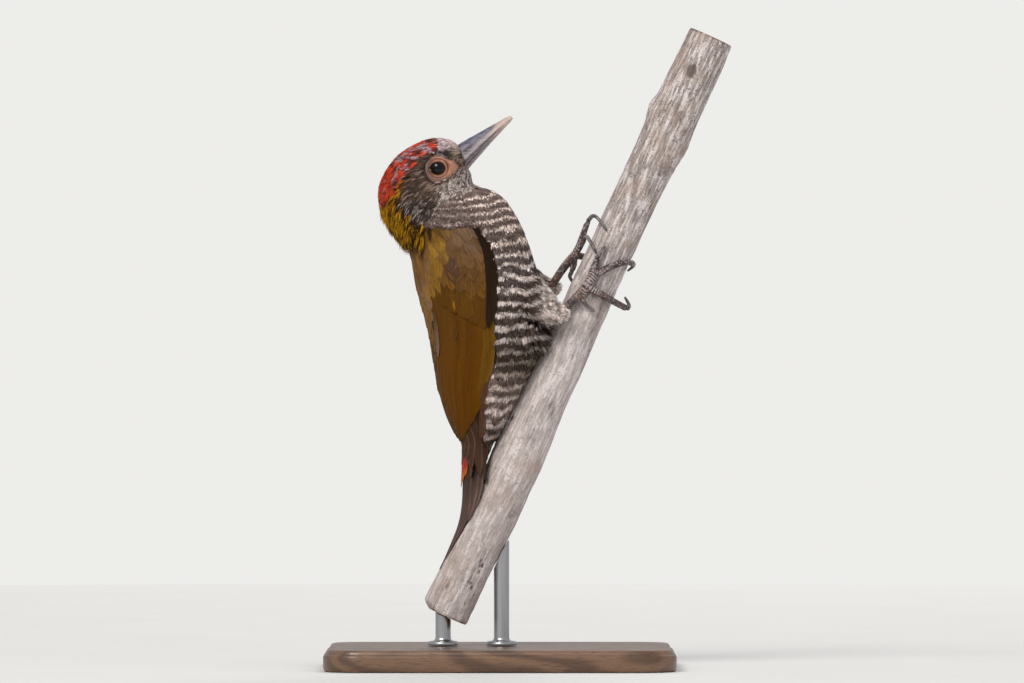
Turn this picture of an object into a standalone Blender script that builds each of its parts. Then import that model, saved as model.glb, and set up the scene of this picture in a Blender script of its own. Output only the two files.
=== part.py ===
# A life-size still model of a male red-rumped woodpecker that clings to a slanting branch on a display
# stand. +X is the bird's belly side, +Z is up, and the bird's midplane and the branch lie in the plane Y = 0.
# The bird's right side faces -Y. The origin is the middle of the underside of the base.
# The tables below are in millimetres, and every mesh is built in metres.
import bpy
import bmesh
from math import atan2, cos, degrees, exp, hypot, pi, radians, sin
from mathutils import Matrix, Vector

mm = 0.001
gap = 0.3                      # clearance between neighbouring solids
acrossBody = Vector((0.0, 1.0, 0.0))

# Stand: a flat base and two rods up to the branch.
baseLength = 112.0
baseWidth = 84.0
baseThickness = 7.0
baseCorner = 12.0
baseBevel = 1.0
rodRadius = 2.5
rodSides = 16
rodFootRadius = 5.0
rodFootHeight = 1.4
# Where each rod stands: X, and a height inside the branch.
rodPlaces = {"stand_rod_end": (-18.2, 26.0), "stand_rod_side": (0.5, 46.0)}

# Branch centre line, lower end first: X, Z and radius.
branchLine = [
    (-17.9, 17.0, 8.1), (-10.9, 31.4, 7.8), (-6.2, 41.0, 7.9), (-0.2, 53.8, 8.4), (6.6, 69.8, 8.6),
    (13.8, 85.8, 8.0), (21.2, 101.8, 7.8), (27.9, 117.8, 7.3), (35.6, 133.8, 7.45), (43.0, 149.8, 7.4),
    (50.6, 165.8, 7.7), (58.1, 181.8, 8.0), (65.4, 197.2, 7.7), (67.6, 202.0, 7.6),
]
# Swellings of the bark: place along the branch, angle round it, height and spread.
branchKnots = [
    (176.5, -84.0, 1.3, 4.0), (166.0, 84.0, 1.0, 4.5), (107.5, 80.0, 0.7, 5.0), (53.0, 34.0, 0.5, 5.0),
]
branchRings = 28
branchSides = 13

# Sections of the body: X and Z of the back, X and Z of the underside, and half the width.
headSections = [
    (-12.2, 166.0, -10.6, 160.6, 2.4), (-13.6, 167.5, -10.2, 159.5, 4.0), (-16.3, 169.0, -9.4, 157.8, 5.8),
    (-19.8, 169.5, -9.3, 156.0, 7.4), (-23.7, 168.7, -10.2, 154.6, 8.6), (-27.8, 166.9, -12.5, 152.6, 9.4),
    (-31.7, 164.3, -15.4, 150.4, 10.0), (-34.9, 161.0, -18.2, 147.8, 10.2), (-37.1, 156.8, -21.1, 145.6, 9.6),
    (-38.1, 152.6, -24.3, 145.0, 8.0), (-37.1, 148.8, -28.2, 145.3, 5.0),
]
trunkSections = [
    (-33.3, 159.4, -12.2, 157.4, 7.5), (-37.6, 156.4, -9.8, 154.9, 10.4), (-38.7, 151.0, -8.6, 154.1, 11.4),
    (-37.6, 145.3, -6.3, 153.7, 12.6), (-34.8, 140.1, -2.5, 152.6, 13.8), (-31.0, 135.7, 1.4, 149.7, 15.0),
    (-28.9, 131.0, 5.5, 143.5, 16.3), (-28.0, 126.2, 8.7, 136.0, 17.3), (-26.7, 120.8, 11.3, 128.0, 18.0),
    (-25.1, 115.0, 13.0, 120.0, 18.2), (-23.4, 109.0, 14.4, 111.6, 17.8), (-22.1, 102.3, 13.4, 103.4, 16.9),
    (-21.0, 95.3, 10.2, 95.4, 15.6), (-19.8, 88.2, 6.4, 87.8, 13.9), (-17.9, 82.0, 3.2, 81.4, 12.0),
    (-15.5, 76.9, 0.8, 76.0, 10.2), (-12.7, 72.0, -2.4, 71.7, 8.6),
]
bodySides = 28
bodyVoxel = 1.1
bodyTriangles = 1400
neckPlanes = {"head": ((-38.3, 149.5), (-9.2, 154.3)), "neck": ((-32.4, 138.2), (-3.4, 153.2))}

# Tail: X and Z of its back, X and Z of the level of its side edges, and half the width.
tailSections = [
    (-12.3, 71.7, -3.2, 71.7, 8.6), (-12.3, 68.2, -3.5, 67.8, 8.2), (-12.3, 65.0, -3.7, 65.0, 8.1),
    (-12.6, 58.6, -4.3, 58.6, 8.1), (-13.0, 52.2, -5.1, 52.8, 8.4), (-14.4, 45.8, -7.4, 45.8, 8.8),
    (-16.9, 40.0, -10.9, 39.4, 9.0), (-20.4, 31.2, -15.0, 32.0, 8.8),
]
tailRows = 9
tailThickness = 0.8
tailClearance = 0.4            # between the tail and the bark it rests against
tailHollowFrom = 0.30          # share of the length where the underside has opened up
featherEnds = [1.0, 0.90, 0.79, 0.69, 0.60]     # where each tail feather ends, middle pair first
featherPoint = 0.055           # share of the length that each point takes

# Wing: where it starts and ends along the trunk sections and the tail, and its two edges as
# angles from the back.
wingFront = [(5.6, 100), (6.6, 112), (8.0, 110), (9.3, 104), (10.4, 97), (11.6, 97), (12.7, 102), (13.9, 107),
             (15.1, 109), (16.0, 104), (17.0, 95), (18.0, 84), (18.7, 76)]
wingBack = [(5.6, 80), (6.4, 55), (7.5, 39), (9.3, 28), (11.2, 16), (13.0, 8), (15.3, 5), (16.0, 14),
            (17.0, 38), (18.0, 55), (18.7, 70)]
wingThickness = [(5.6, 0.8), (7.5, 2.0), (12.0, 2.2), (15.0, 1.6), (17.0, 1.0), (18.7, 0.8)]
wingEdgeShare = 0.4            # thickness at the edges as a share of the middle
wingRows = 15
wingColumns = 8

# Bill: distance from its base along its axis, then culmen, gape line and underside across it, and
# half the width.
billBase = (-11.8, 163.5)
billTip = (3.84, 176.3)
billSections = [
    (-1.6, 4.6, -2.0, -4.3, 3.7), (1.4, 4.2, -1.5, -3.6, 3.5), (5.0, 3.6, -1.15, -3.0, 3.0),
    (9.0, 2.9, -0.85, -2.3, 2.4), (13.0, 2.2, -0.5, -1.75, 1.8), (17.0, 1.5, -0.2, -1.15, 1.25),
    (20.2, 0.85, 0.0, -0.65, 0.75),
]
billHalf = [(0.0, 1.0), (0.36, 0.84), (0.72, 0.5), (0.95, 0.18), (1.0, 0.0)]      # across, then up, as shares
billSlit = 0.25

eyeCentre = (-19.84, 6.5, 160.3)
eyeRadius = 3.4

# Legs. A point beside the branch is its place along the branch, its angle round it (0 faces -Y, 90 faces +X)
# and its height over the bark. Each list ends with the radius at its two ends.
thighs = {
    "thigh_right": ([(6.4, -9.0, 120.3, 7.2), (11.5, -10.3, 117.0, 6.0), (15.8, -10.9, 114.3, 4.0),
                     (19.2, -10.4, 113.3, 2.5), (20.6, -10.1, 113.9, 1.7)]),
    "thigh_left": ([(5.0, 9.0, 124.0, 7.2), (9.8, 9.3, 122.4, 5.8), (13.8, 8.6, 121.4, 3.9),
                    (17.0, 6.9, 121.9, 2.4), (18.0, 6.3, 122.6, 1.7)]),
}
legs = {
    "leg_right": {
        "tarsus": ([(102.9, -45, 3.3), (105.9, -33, 2.5), (110.4, -22, 2.0), (114.6, -14, 1.6)], 1.15, 1.3),
        "toes": {
            "inner": ([(115.2, -14, 1.6), (117.6, -15.5, 1.35), (120.4, -17, 1.3), (123.5, -18.3, 1.3)],
                      1.15, 0.85),
            "outer": ([(115.2, -14, 1.6), (120.4, -1, 1.35), (123.7, 16, 1.3), (126.2, 33, 1.3),
                       (127.3, 50, 1.3)], 1.15, 0.85),
            "middle": ([(114.6, -13, 1.6), (114.3, 18, 1.4), (113.9, 46, 1.8), (113.7, 69, 3.1),
                        (113.6, 83, 4.6)], 1.15, 0.95),
            "hind": ([(114.8, -14, 1.6), (113.0, -12.5, 1.35), (111.4, -12, 1.3)], 1.1, 0.8),
        },
        "claws": {
            "inner": [(126.4, -18.6, 1.6), (128.4, -18.3, 0.4)],
            "outer": [(127.2, 72, 1.7), (124.9, 90, 0.4)],
            "middle": [(115.0, 92, 5.4), (116.6, 82, 3.3)],
            "hind": [(109.1, 1, 1.9), (108.4, 26, 0.4)],
        },
    },
    "leg_left": {
        "tarsus": ([(109.8, -116, 6.2), (112.8, -112, 5.5), (117.4, -105, 4.2), (121.8, -97, 2.6)],
                   1.15, 1.35),
        "toes": {
            "inner": ([(121.8, -97, 2.6), (124.2, -93, 2.2), (127.5, -88, 1.9)], 1.15, 0.85),
            "outer": ([(122.2, -98, 2.6), (125.4, -99, 2.6), (129.2, -97, 2.9), (132.6, -94, 3.1)],
                      1.15, 0.85),
            "middle": ([(121.8, -98, 2.6), (122.6, -120, 1.5), (123.1, -143, 1.3), (123.2, -165, 1.3)],
                       1.15, 0.85),
            "hind": ([(121.6, -98, 2.6), (119.4, -101, 1.6), (117.6, -103, 1.35)], 1.1, 0.8),
        },
        "claws": {
            "inner": [(128.8, -61, 2.2), (125.5, -31, 0.4)],
            "outer": [(136.3, -68, 2.7), (133.6, -33, 0.4)],
            "middle": [(122.0, -190, 1.9), (119.8, -208, 0.4)],
            "hind": [(115.0, -118, 1.9), (113.6, -136, 0.4)],
        },
    },
}
dome = 0.6                     # height of a tube's rounded end as a share of its radius
clawRadius = 0.65
clawTipRadius = 0.12
legSides = 7
thighSides = 11
clawSides = 6

# Colour, roughness and metallic value of each material.
finishes = {
    "red feathers": ((0.42, 0.06, 0.05), 0.8, 0.0),
    "tan feathers": ((0.30, 0.24, 0.16), 0.8, 0.0),
    "barred feathers": ((0.32, 0.28, 0.22), 0.8, 0.0),
    "gold feathers": ((0.34, 0.23, 0.07), 0.7, 0.0),
    "dark feathers": ((0.05, 0.035, 0.025), 0.7, 0.0),
    "horn": ((0.12, 0.13, 0.15), 0.4, 0.0),
    "pale horn": ((0.42, 0.33, 0.31), 0.45, 0.0),
    "skin": ((0.10, 0.09, 0.08), 0.6, 0.0),
    "eye": ((0.02, 0.012, 0.01), 0.05, 0.0),
    "bark": ((0.42, 0.38, 0.35), 0.9, 0.0),
    "wood": ((0.12, 0.07, 0.04), 0.4, 0.0),
    "steel": ((0.55, 0.55, 0.55), 0.3, 1.0),
}


def spline(rows, place):
    # Row of numbers at a place on a smooth curve through the rows, where row 0 is place 0.
    place = min(max(place, 0.0), len(rows) - 1.0)
    first = min(int(place), len(rows) - 2)
    t = place - first
    near = [rows[min(max(first + step, 0), len(rows) - 1)] for step in (-1, 0, 1, 2)]
    blend = (-t + 2 * t**2 - t**3, 2 - 5 * t**2 + 3 * t**3, t + 4 * t**2 - 3 * t**3, t**3 - t**2)
    columns = range(len(rows[0]))
    return [0.5 * sum(share * row[column] for share, row in zip(blend, near)) for column in columns]


def along(pairs, place):
    # Value at a place in a list of (place, value) pairs, joined by straight lines.
    if place <= pairs[0][0]:
        return pairs[0][1]
    for (start, low), (end, high) in zip(pairs, pairs[1:]):
        if place <= end:
            return low + (high - low) * (place - start) / (end - start)
    return pairs[-1][1]


def smooth(value, start, end):
    # 0 before start, 1 after end, and a soft step between.
    t = min(max((value - start) / (end - start), 0.0), 1.0)
    return t * t * (3 - 2 * t)


def flat(x, z):
    return Vector((x, 0.0, z))


def makeObject(name, points, faces, finish):
    # A closed mesh of triangles with its faces pointing out, from points in millimetres.
    mesh = bpy.data.meshes.new(name)
    mesh.from_pydata([Vector(point) * mm for point in points], [], faces)
    work = bmesh.new()
    work.from_mesh(mesh)
    bmesh.ops.remove_doubles(work, verts=work.verts, dist=1e-7)
    bmesh.ops.triangulate(work, faces=work.faces)
    bmesh.ops.recalc_face_normals(work, faces=work.faces)
    work.to_mesh(mesh)
    work.free()
    thing = bpy.data.objects.new(name, mesh)
    bpy.context.scene.collection.objects.link(thing)
    paint(thing, finish)
    return thing


def paint(thing, finish):
    # Gives the object one material, and shades it smooth up to sharp edges.
    material = bpy.data.materials.get(finish)
    if material is None:
        color, roughness, metallic = finishes[finish]
        material = bpy.data.materials.new(finish)
        material.use_nodes = True
        shader = material.node_tree.nodes["Principled BSDF"]
        shader.inputs["Base Color"].default_value = (*color, 1.0)
        shader.inputs["Roughness"].default_value = roughness
        shader.inputs["Metallic"].default_value = metallic
        material.diffuse_color = (*color, 1.0)
    thing.data.materials.clear()
    thing.data.materials.append(material)
    thing.data.shade_smooth()
    thing.data.set_sharp_from_angle(angle=radians(40))


def loft(name, rings, finish):
    # A solid through rings that all have the same number of points, closed by a fan at each end.
    sides = len(rings[0])
    points = [point for ring in rings for point in ring]
    faces = []
    for row in range(len(rings) - 1):
        for side in range(sides):
            after = (side + 1) % sides
            low, high = row * sides, (row + 1) * sides
            faces.append((low + side, low + after, high + after, high + side))
    for row in (0, len(rings) - 1):
        middle = sum((Vector(point) for point in rings[row]), Vector()) / sides
        points.append(middle)
        for side in range(sides):
            faces.append((row * sides + side, row * sides + (side + 1) % sides, len(points) - 1))
    return makeObject(name, points, faces, finish)


def shell(name, outer, inner, finish):
    # A solid between two grids of points of the same size, closed by walls along their borders.
    rows, columns = len(outer), len(outer[0])
    points = [point for row in outer + inner for point in row]

    def outerIndex(row, column):
        return row * columns + column

    def innerIndex(row, column):
        return (rows + row) * columns + column

    faces = []
    for row in range(rows - 1):
        for index in (outerIndex, innerIndex):
            faces += [(index(row, column), index(row, column + 1),
                       index(row + 1, column + 1), index(row + 1, column))
                      for column in range(columns - 1)]
        for column in (0, columns - 1):
            faces.append((outerIndex(row, column), outerIndex(row + 1, column),
                          innerIndex(row + 1, column), innerIndex(row, column)))
    for row in (0, rows - 1):
        faces += [(outerIndex(row, column), outerIndex(row, column + 1),
                   innerIndex(row, column + 1), innerIndex(row, column)) for column in range(columns - 1)]
    return makeObject(name, points, faces, finish)


def tube(name, path, radii, sides, finish, flatStart=False):
    # A round bar along a path, with domed ends, from points and the radius at each.
    rings = []
    reference = Vector((0.13, 1.0, 0.21)).normalized()
    last = len(path) - 1
    stops = [] if flatStart else [(0, -dome, 0.5)]
    stops += [(index, 0.0, 1.0) for index in range(last + 1)] + [(last, dome, 0.5)]
    for index, out, share in stops:
        forward = (path[min(index + 1, last)] - path[max(index - 1, 0)]).normalized()
        first = (reference - forward * reference.dot(forward)).normalized()
        second = forward.cross(first)
        reference = first
        middle = path[index] + forward * out * radii[index]
        turn = [2 * pi * side / sides for side in range(sides)]
        rings.append([middle + (first * cos(a) + second * sin(a)) * radii[index] * share for a in turn])
    return loft(name, rings, finish)


def curvePath(points, count):
    # Evenly spaced points on a smooth curve through the points.
    rows = [tuple(point) for point in points]
    return [Vector(spline(rows, (len(rows) - 1) * step / (count - 1))) for step in range(count)]


def finished(thing):
    # Swaps the object's modifiers for the mesh that they make.
    graph = bpy.context.evaluated_depsgraph_get()
    mesh = bpy.data.meshes.new_from_object(thing.evaluated_get(graph))
    thing.modifiers.clear()
    thing.data = mesh
    return thing


def combine(target, tools, operation):
    # Cuts the tools from the target, or joins them to it, and removes the tools that it joined.
    for tool in tools:
        modifier = target.modifiers.new("boolean", "BOOLEAN")
        modifier.operation = operation
        modifier.solver = "EXACT"
        modifier.object = tool
        finished(target)
    if operation == "UNION":
        discard(tools)


def discard(tools):
    for tool in tools:
        bpy.data.objects.remove(tool, do_unlink=True)


def section(back, belly, halfWidth, angle):
    # Point on an elliptical section, at an angle from the back towards -Y.
    middle = (back + belly) / 2
    return middle + (back - middle) * cos(angle) - acrossBody * halfWidth * sin(angle)


def sectionAt(table, place):
    backX, backZ, bellyX, bellyZ, halfWidth = spline(table, place)
    return flat(backX, backZ), flat(bellyX, bellyZ), halfWidth


def sectionLoft(name, table, steps):
    # An elliptical loft through a table of sections, rounded off at its ends.
    rings = []
    for step in range(steps + 1):
        back, belly, halfWidth = sectionAt(table, (len(table) - 1) * step / steps)
        turn = [2 * pi * side / bodySides for side in range(bodySides)]
        rings.append([section(back, belly, halfWidth, angle) for angle in turn])
    return loft(name, rings, "tan feathers")


# Branch.

def branchLengths():
    # Distance along the branch of each row of its table.
    lengths = [0.0]
    for (x0, z0, _), (x1, z1, _) in zip(branchLine, branchLine[1:]):
        lengths.append(lengths[-1] + hypot(x1 - x0, z1 - z0))
    return lengths


branchPlaces = branchLengths()


def branchFrame(distance):
    # Centre of the branch, its radius, its direction and its sideways direction (towards +X) there.
    rows = list(zip(branchPlaces, range(len(branchPlaces))))
    place = along(rows, distance)
    x, z, radius = spline(branchLine, place)
    before, after = spline(branchLine, place - 0.5), spline(branchLine, place + 0.5)
    forward = flat(after[0] - before[0], after[1] - before[1]).normalized()
    return flat(x, z), radius, forward, Vector((forward.z, 0.0, -forward.x))


def barkRadius(distance, angle):
    # Radius of the bark at an angle in degrees round the branch, with its knots and slight unevenness.
    radius = branchFrame(distance)[1]
    for place, at, height, spread in branchKnots:
        turn = radians((angle - at + 180) % 360 - 180) * radius
        radius += height * exp(-((distance - place) ** 2 + turn**2) / spread**2)
    return radius + 0.1 * sin(3 * radians(angle) + distance / 11) + 0.07 * sin(distance / 4.3)


def besideBranch(distance, angle, height):
    # Point at a height over the bark.
    centre, _, _, side = branchFrame(distance)
    reach = barkRadius(distance, angle) + height
    return centre + (side * sin(radians(angle)) - acrossBody * cos(radians(angle))) * reach


def makeBranch(name, extra, finish):
    # The branch, or a cutter that stands off its bark by some extra.
    rings = []
    length = branchPlaces[-1]
    for ring in range(branchRings + 1):
        distance = length * ring / branchRings
        centre, _, forward, _ = branchFrame(distance)
        shift = forward * (extra if ring == branchRings else -extra if ring == 0 else 0.0)
        turn = [360.0 * side / branchSides for side in range(branchSides)]
        rings.append([besideBranch(distance, angle, extra) + shift for angle in turn])
    return loft(name, rings, finish)


# Body.

def makeBody():
    # Head, neck and trunk in one skin, before they are parted.
    body = sectionLoft("trunk", trunkSections, 48)
    combine(body, [sectionLoft("head whole", headSections, 30)], "UNION")
    remesh = body.modifiers.new("remesh", "REMESH")
    remesh.mode = "VOXEL"
    remesh.voxel_size = bodyVoxel * mm
    finished(body)
    soften = body.modifiers.new("soften", "SMOOTH")
    soften.factor = 0.5
    soften.iterations = 5
    finished(body)
    thin = body.modifiers.new("thin", "DECIMATE")
    thin.ratio = bodyTriangles / sum(len(face.vertices) - 2 for face in body.data.polygons)
    return finished(body)


def keepSide(name, source, plane, sign, finish):
    # Copy of a solid on one side of a plane through two points of the midplane, half a gap short of it.
    start, end = flat(*plane[0]) * mm, flat(*plane[1]) * mm
    normal = (end - start).cross(acrossBody).normalized() * sign
    mesh = source.data.copy()
    work = bmesh.new()
    work.from_mesh(mesh)
    geometry = work.verts[:] + work.edges[:] + work.faces[:]
    cut = bmesh.ops.bisect_plane(work, geom=geometry, dist=1e-7, plane_co=start + normal * gap / 2 * mm,
                                 plane_no=normal, clear_inner=True)
    rim = [item for item in cut["geom_cut"] if isinstance(item, bmesh.types.BMEdge)]
    bmesh.ops.triangle_fill(work, edges=rim, use_beauty=True)
    bmesh.ops.recalc_face_normals(work, faces=work.faces)
    work.to_mesh(mesh)
    work.free()
    thing = bpy.data.objects.new(name, mesh)
    bpy.context.scene.collection.objects.link(thing)
    paint(thing, finish)
    return thing


# Tail.

def tailPoint(place, angle):
    # Point on the back of the tail; past the trunk it opens from a full ellipse to an arch.
    back, edge, halfWidth = sectionAt(tailSections, place * (len(tailSections) - 1))
    opening = smooth(place, 0.0, tailHollowFrom)
    middle = (back + edge) / 2 * (1 - opening) + edge * opening
    return middle + (back - middle) * cos(angle) - acrossBody * halfWidth * sin(angle)


def clearOfBranch(point, height):
    # The point, pushed out from the branch until it is at least a height over the bark.
    distance = nearestPlace(point)
    centre, _, _, side = branchFrame(distance)
    out = point - centre
    angle = degrees(atan2(out.dot(side), -out.dot(acrossBody)))
    reach = barkRadius(distance, angle) + height
    radial = side * out.dot(side) + acrossBody * out.dot(acrossBody)
    if radial.length >= reach:
        return point
    return point + radial.normalized() * (reach - radial.length)


def nearestPlace(point):
    # Distance along the branch of the point of its centre line nearest to a point.
    distance = branchPlaces[-1] / 2
    for _ in range(8):
        centre, _, forward, _ = branchFrame(distance)
        distance = min(max(distance + (point - centre).dot(forward), 0.0), branchPlaces[-1])
    return distance


def tailEnd(angle):
    # Where the tail ends at an angle: one point for each feather, the outer feathers shorter.
    feathers = len(featherEnds)
    position = min(abs(angle) / (pi / 2) * feathers, feathers - 1e-6)
    feather = int(position)
    return featherEnds[feather] - featherPoint * abs(2 * (position - feather) - 1)


def makeTail():
    columns = 4 * len(featherEnds)
    outerRows, innerRows = [], []
    for row in range(tailRows + 1):
        share = row / tailRows
        outer, inner = [], []
        for column in range(columns + 1):
            swing = 2 * column / columns - 1
            place = share * tailEnd(swing * pi / 2)
            reach = radians(125) + (pi / 2 - radians(125)) * smooth(place, 0.0, tailHollowFrom)
            top = clearOfBranch(tailPoint(place, swing * reach), tailClearance + tailThickness)
            back, edge, halfWidth = sectionAt(tailSections, place * (len(tailSections) - 1))
            thickness = tailThickness + 1.2 * (1 - smooth(place, 0.25, 0.5))
            shrink = Vector((back.x - edge.x, 0, back.z - edge.z))
            hollow = (tailPoint(place, swing * reach) - shrink.normalized() * thickness * cos(swing * reach)
                      + acrossBody * thickness * sin(swing * reach))
            full = tailPoint(place, pi - (pi - reach) * 0.85 * swing)
            under = full + (hollow - full) * smooth(place, 0.02, tailHollowFrom)
            outer.append(top)
            inner.append(clearOfBranch(under, tailClearance))
        outerRows.append(outer)
        innerRows.append(inner)
    return shell("tail", outerRows, innerRows, "dark feathers")


# Wings.

def wingSurface(place, angle):
    # Point on the outer shape of the body and the tail's root, where the wing lies.
    last = len(trunkSections) - 1
    if place <= last:
        return section(*sectionAt(trunkSections, place), angle)
    back, edge, halfWidth = sectionAt(tailSections, place - last)
    return section(back, edge, halfWidth + 0.4 * (place - last) ** 0.5, angle)


def makeWing(name, side, extra, finish):
    # A folded wing as a thin curved solid, or a cutter that stands off it by some extra.
    start, end = wingFront[0][0] - extra / 6, wingFront[-1][0] + extra / 6
    outerRows, innerRows = [], []
    for row in range(wingRows + 1):
        place = start + (end - start) * row / wingRows
        halfWidth = sectionAt(trunkSections, min(place, len(trunkSections) - 1))[2]
        reach = extra / halfWidth
        front = radians(along(wingFront, place)) + reach
        back = radians(along(wingBack, place)) - reach
        if extra and 13.0 < place < 15.8:
            back = -reach
        outer, inner = [], []
        for column in range(wingColumns):
            share = column / (wingColumns - 1)
            angle = back + (front - back) * share
            middle = sin(pi * share) ** 0.5
            thick = along(wingThickness, place) * (wingEdgeShare + (1 - wingEdgeShare) * middle)
            point = wingSurface(place, angle)
            normal = surfaceNormal(place, angle)
            lift = 1.5 if extra else 0.0
            outer.append(point + normal * lift)
            inner.append(point - normal * (thick + extra))
        outerRows.append([Vector((point.x, point.y * side, point.z)) for point in outer])
        innerRows.append([Vector((point.x, point.y * side, point.z)) for point in inner])
    return shell(name, outerRows, innerRows, finish)


def surfaceNormal(place, angle):
    step = 0.02
    around = wingSurface(place, angle + step) - wingSurface(place, angle - step)
    onward = wingSurface(place + step, angle) - wingSurface(place - step, angle)
    return around.cross(onward).normalized() * -1


# Bill and eyes.

def makeBill(name, upper, extra, finish):
    # Half of the bill, or a cutter for all of it that stands off it by some extra.
    start, end = flat(*billBase), flat(*billTip)
    forward = (end - start).normalized()
    up = Vector((-forward.z, 0.0, forward.x))
    rings = []
    for step in range(10):
        distance, top, middle, bottom, width = spline(billSections, (len(billSections) - 1) * step / 9)
        if extra and step == 0:
            distance -= extra
        ring = []
        if upper or extra:
            slit = middle + (0.0 if extra else billSlit / 2)
            height = top + extra - slit
            ring += [(across * (width + extra), slit + height * rise) for across, rise in billHalf[::-1]]
            ring += [(-across * (width + extra), slit + height * rise) for across, rise in billHalf[1:]]
        if not upper or extra:
            slit = middle - (0.0 if extra else billSlit / 2)
            depth = bottom - extra - slit
            low = [(-across * (width + extra), slit + depth * rise) for across, rise in billHalf[::-1]]
            low += [(across * (width + extra), slit + depth * rise) for across, rise in billHalf[1:]]
            ring += low[1:-1] if extra else low
        centre = start + forward * distance
        rings.append([centre + up * rise - acrossBody * across for across, rise in ring])
    return loft(name, rings, finish)


def makeBall(name, centre, radius, finish):
    mesh = bpy.data.meshes.new(name)
    work = bmesh.new()
    bmesh.ops.create_uvsphere(work, u_segments=13, v_segments=8, radius=radius * mm)
    bmesh.ops.rotate(work, verts=work.verts, matrix=Matrix.Rotation(pi / 2, 3, "X"))
    bmesh.ops.translate(work, verts=work.verts, vec=Vector(centre) * mm)
    work.to_mesh(mesh)
    work.free()
    thing = bpy.data.objects.new(name, mesh)
    bpy.context.scene.collection.objects.link(thing)
    paint(thing, finish)
    return thing


# Legs.

def makeThigh(name, rows, extra, finish):
    # The feathered upper leg, or a cutter that stands off it by some extra.
    path = [Vector(spline(rows, (len(rows) - 1) * step / 6)[:3]) for step in range(7)]
    radii = [spline(rows, (len(rows) - 1) * step / 6)[3] + extra for step in range(7)]
    return tube(name, path, radii, thighSides, finish)


def legTube(name, rows, first, last, extra, count, sides, finish):
    path = curvePath([besideBranch(*row) for row in rows], count)
    radii = [first + (last - first) * step / (count - 1) + extra for step in range(count)]
    return tube(name, path, radii, sides, finish)


def makeLeg(name):
    # One bare leg: the tarsus with its four toes, joined into one solid.
    rows, first, last = legs[name]["tarsus"]
    leg = legTube(name, rows, first, last, 0.0, 7, legSides, "skin")
    for toe, (toeRows, toeFirst, toeLast) in legs[name]["toes"].items():
        piece = legTube(toe, toeRows, toeFirst, toeLast, 0.0, 2 * len(toeRows), legSides, "skin")
        combine(leg, [piece], "UNION")
    paint(leg, "skin")
    return leg


def makeClaw(name, toeRows, toeRadius, rows):
    # A hooked claw that starts just past the end of its toe.
    before, end = [besideBranch(*row) for row in toeRows[-2:]]
    base = end + (end - before).normalized() * (toeRadius * dome + gap * 1.7)
    path = curvePath([base] + [besideBranch(*row) for row in rows], 6)
    radii = [clawRadius + (clawTipRadius - clawRadius) * step / 5 for step in range(6)]
    return tube(name, path, radii, clawSides, "horn", flatStart=True)


# Stand.

def makeBase():
    # The flat base: a plate with round corners and a bevelled upper edge.
    def outline(inset, height):
        ring = []
        corner = baseCorner - inset
        for quarter in range(4):
            middleX = (baseLength / 2 - baseCorner) * (1 if quarter in (0, 3) else -1)
            middleY = (baseWidth / 2 - baseCorner) * (1 if quarter in (0, 1) else -1)
            for step in range(6):
                angle = pi / 2 * (quarter + step / 5)
                ring.append(Vector((middleX + corner * cos(angle), middleY + corner * sin(angle), height)))
        return ring
    rings = [outline(0.0, 0.0), outline(0.0, baseThickness - baseBevel),
             outline(baseBevel * 0.3, baseThickness - baseBevel * 0.3), outline(baseBevel, baseThickness)]
    return loft("stand_base", rings, "wood")


def makeRod(name, x, top, branchCutter):
    # A rod with a round foot on the base, cut off along the underside of the branch.
    bottom = baseThickness + gap
    footTop = bottom + rodFootHeight
    profile = [(rodFootRadius, bottom), (rodFootRadius, bottom + rodFootHeight * 0.6),
               (rodFootRadius - 0.6, footTop), (rodRadius, footTop), (rodRadius, top)]
    turn = [2 * pi * side / rodSides for side in range(rodSides)]
    rings = [[Vector((x + radius * cos(a), radius * sin(a), z)) for a in turn] for radius, z in profile]
    rod = loft(name, rings, "steel")
    combine(rod, [branchCutter], "DIFFERENCE")
    paint(rod, "steel")
    return rod


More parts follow.
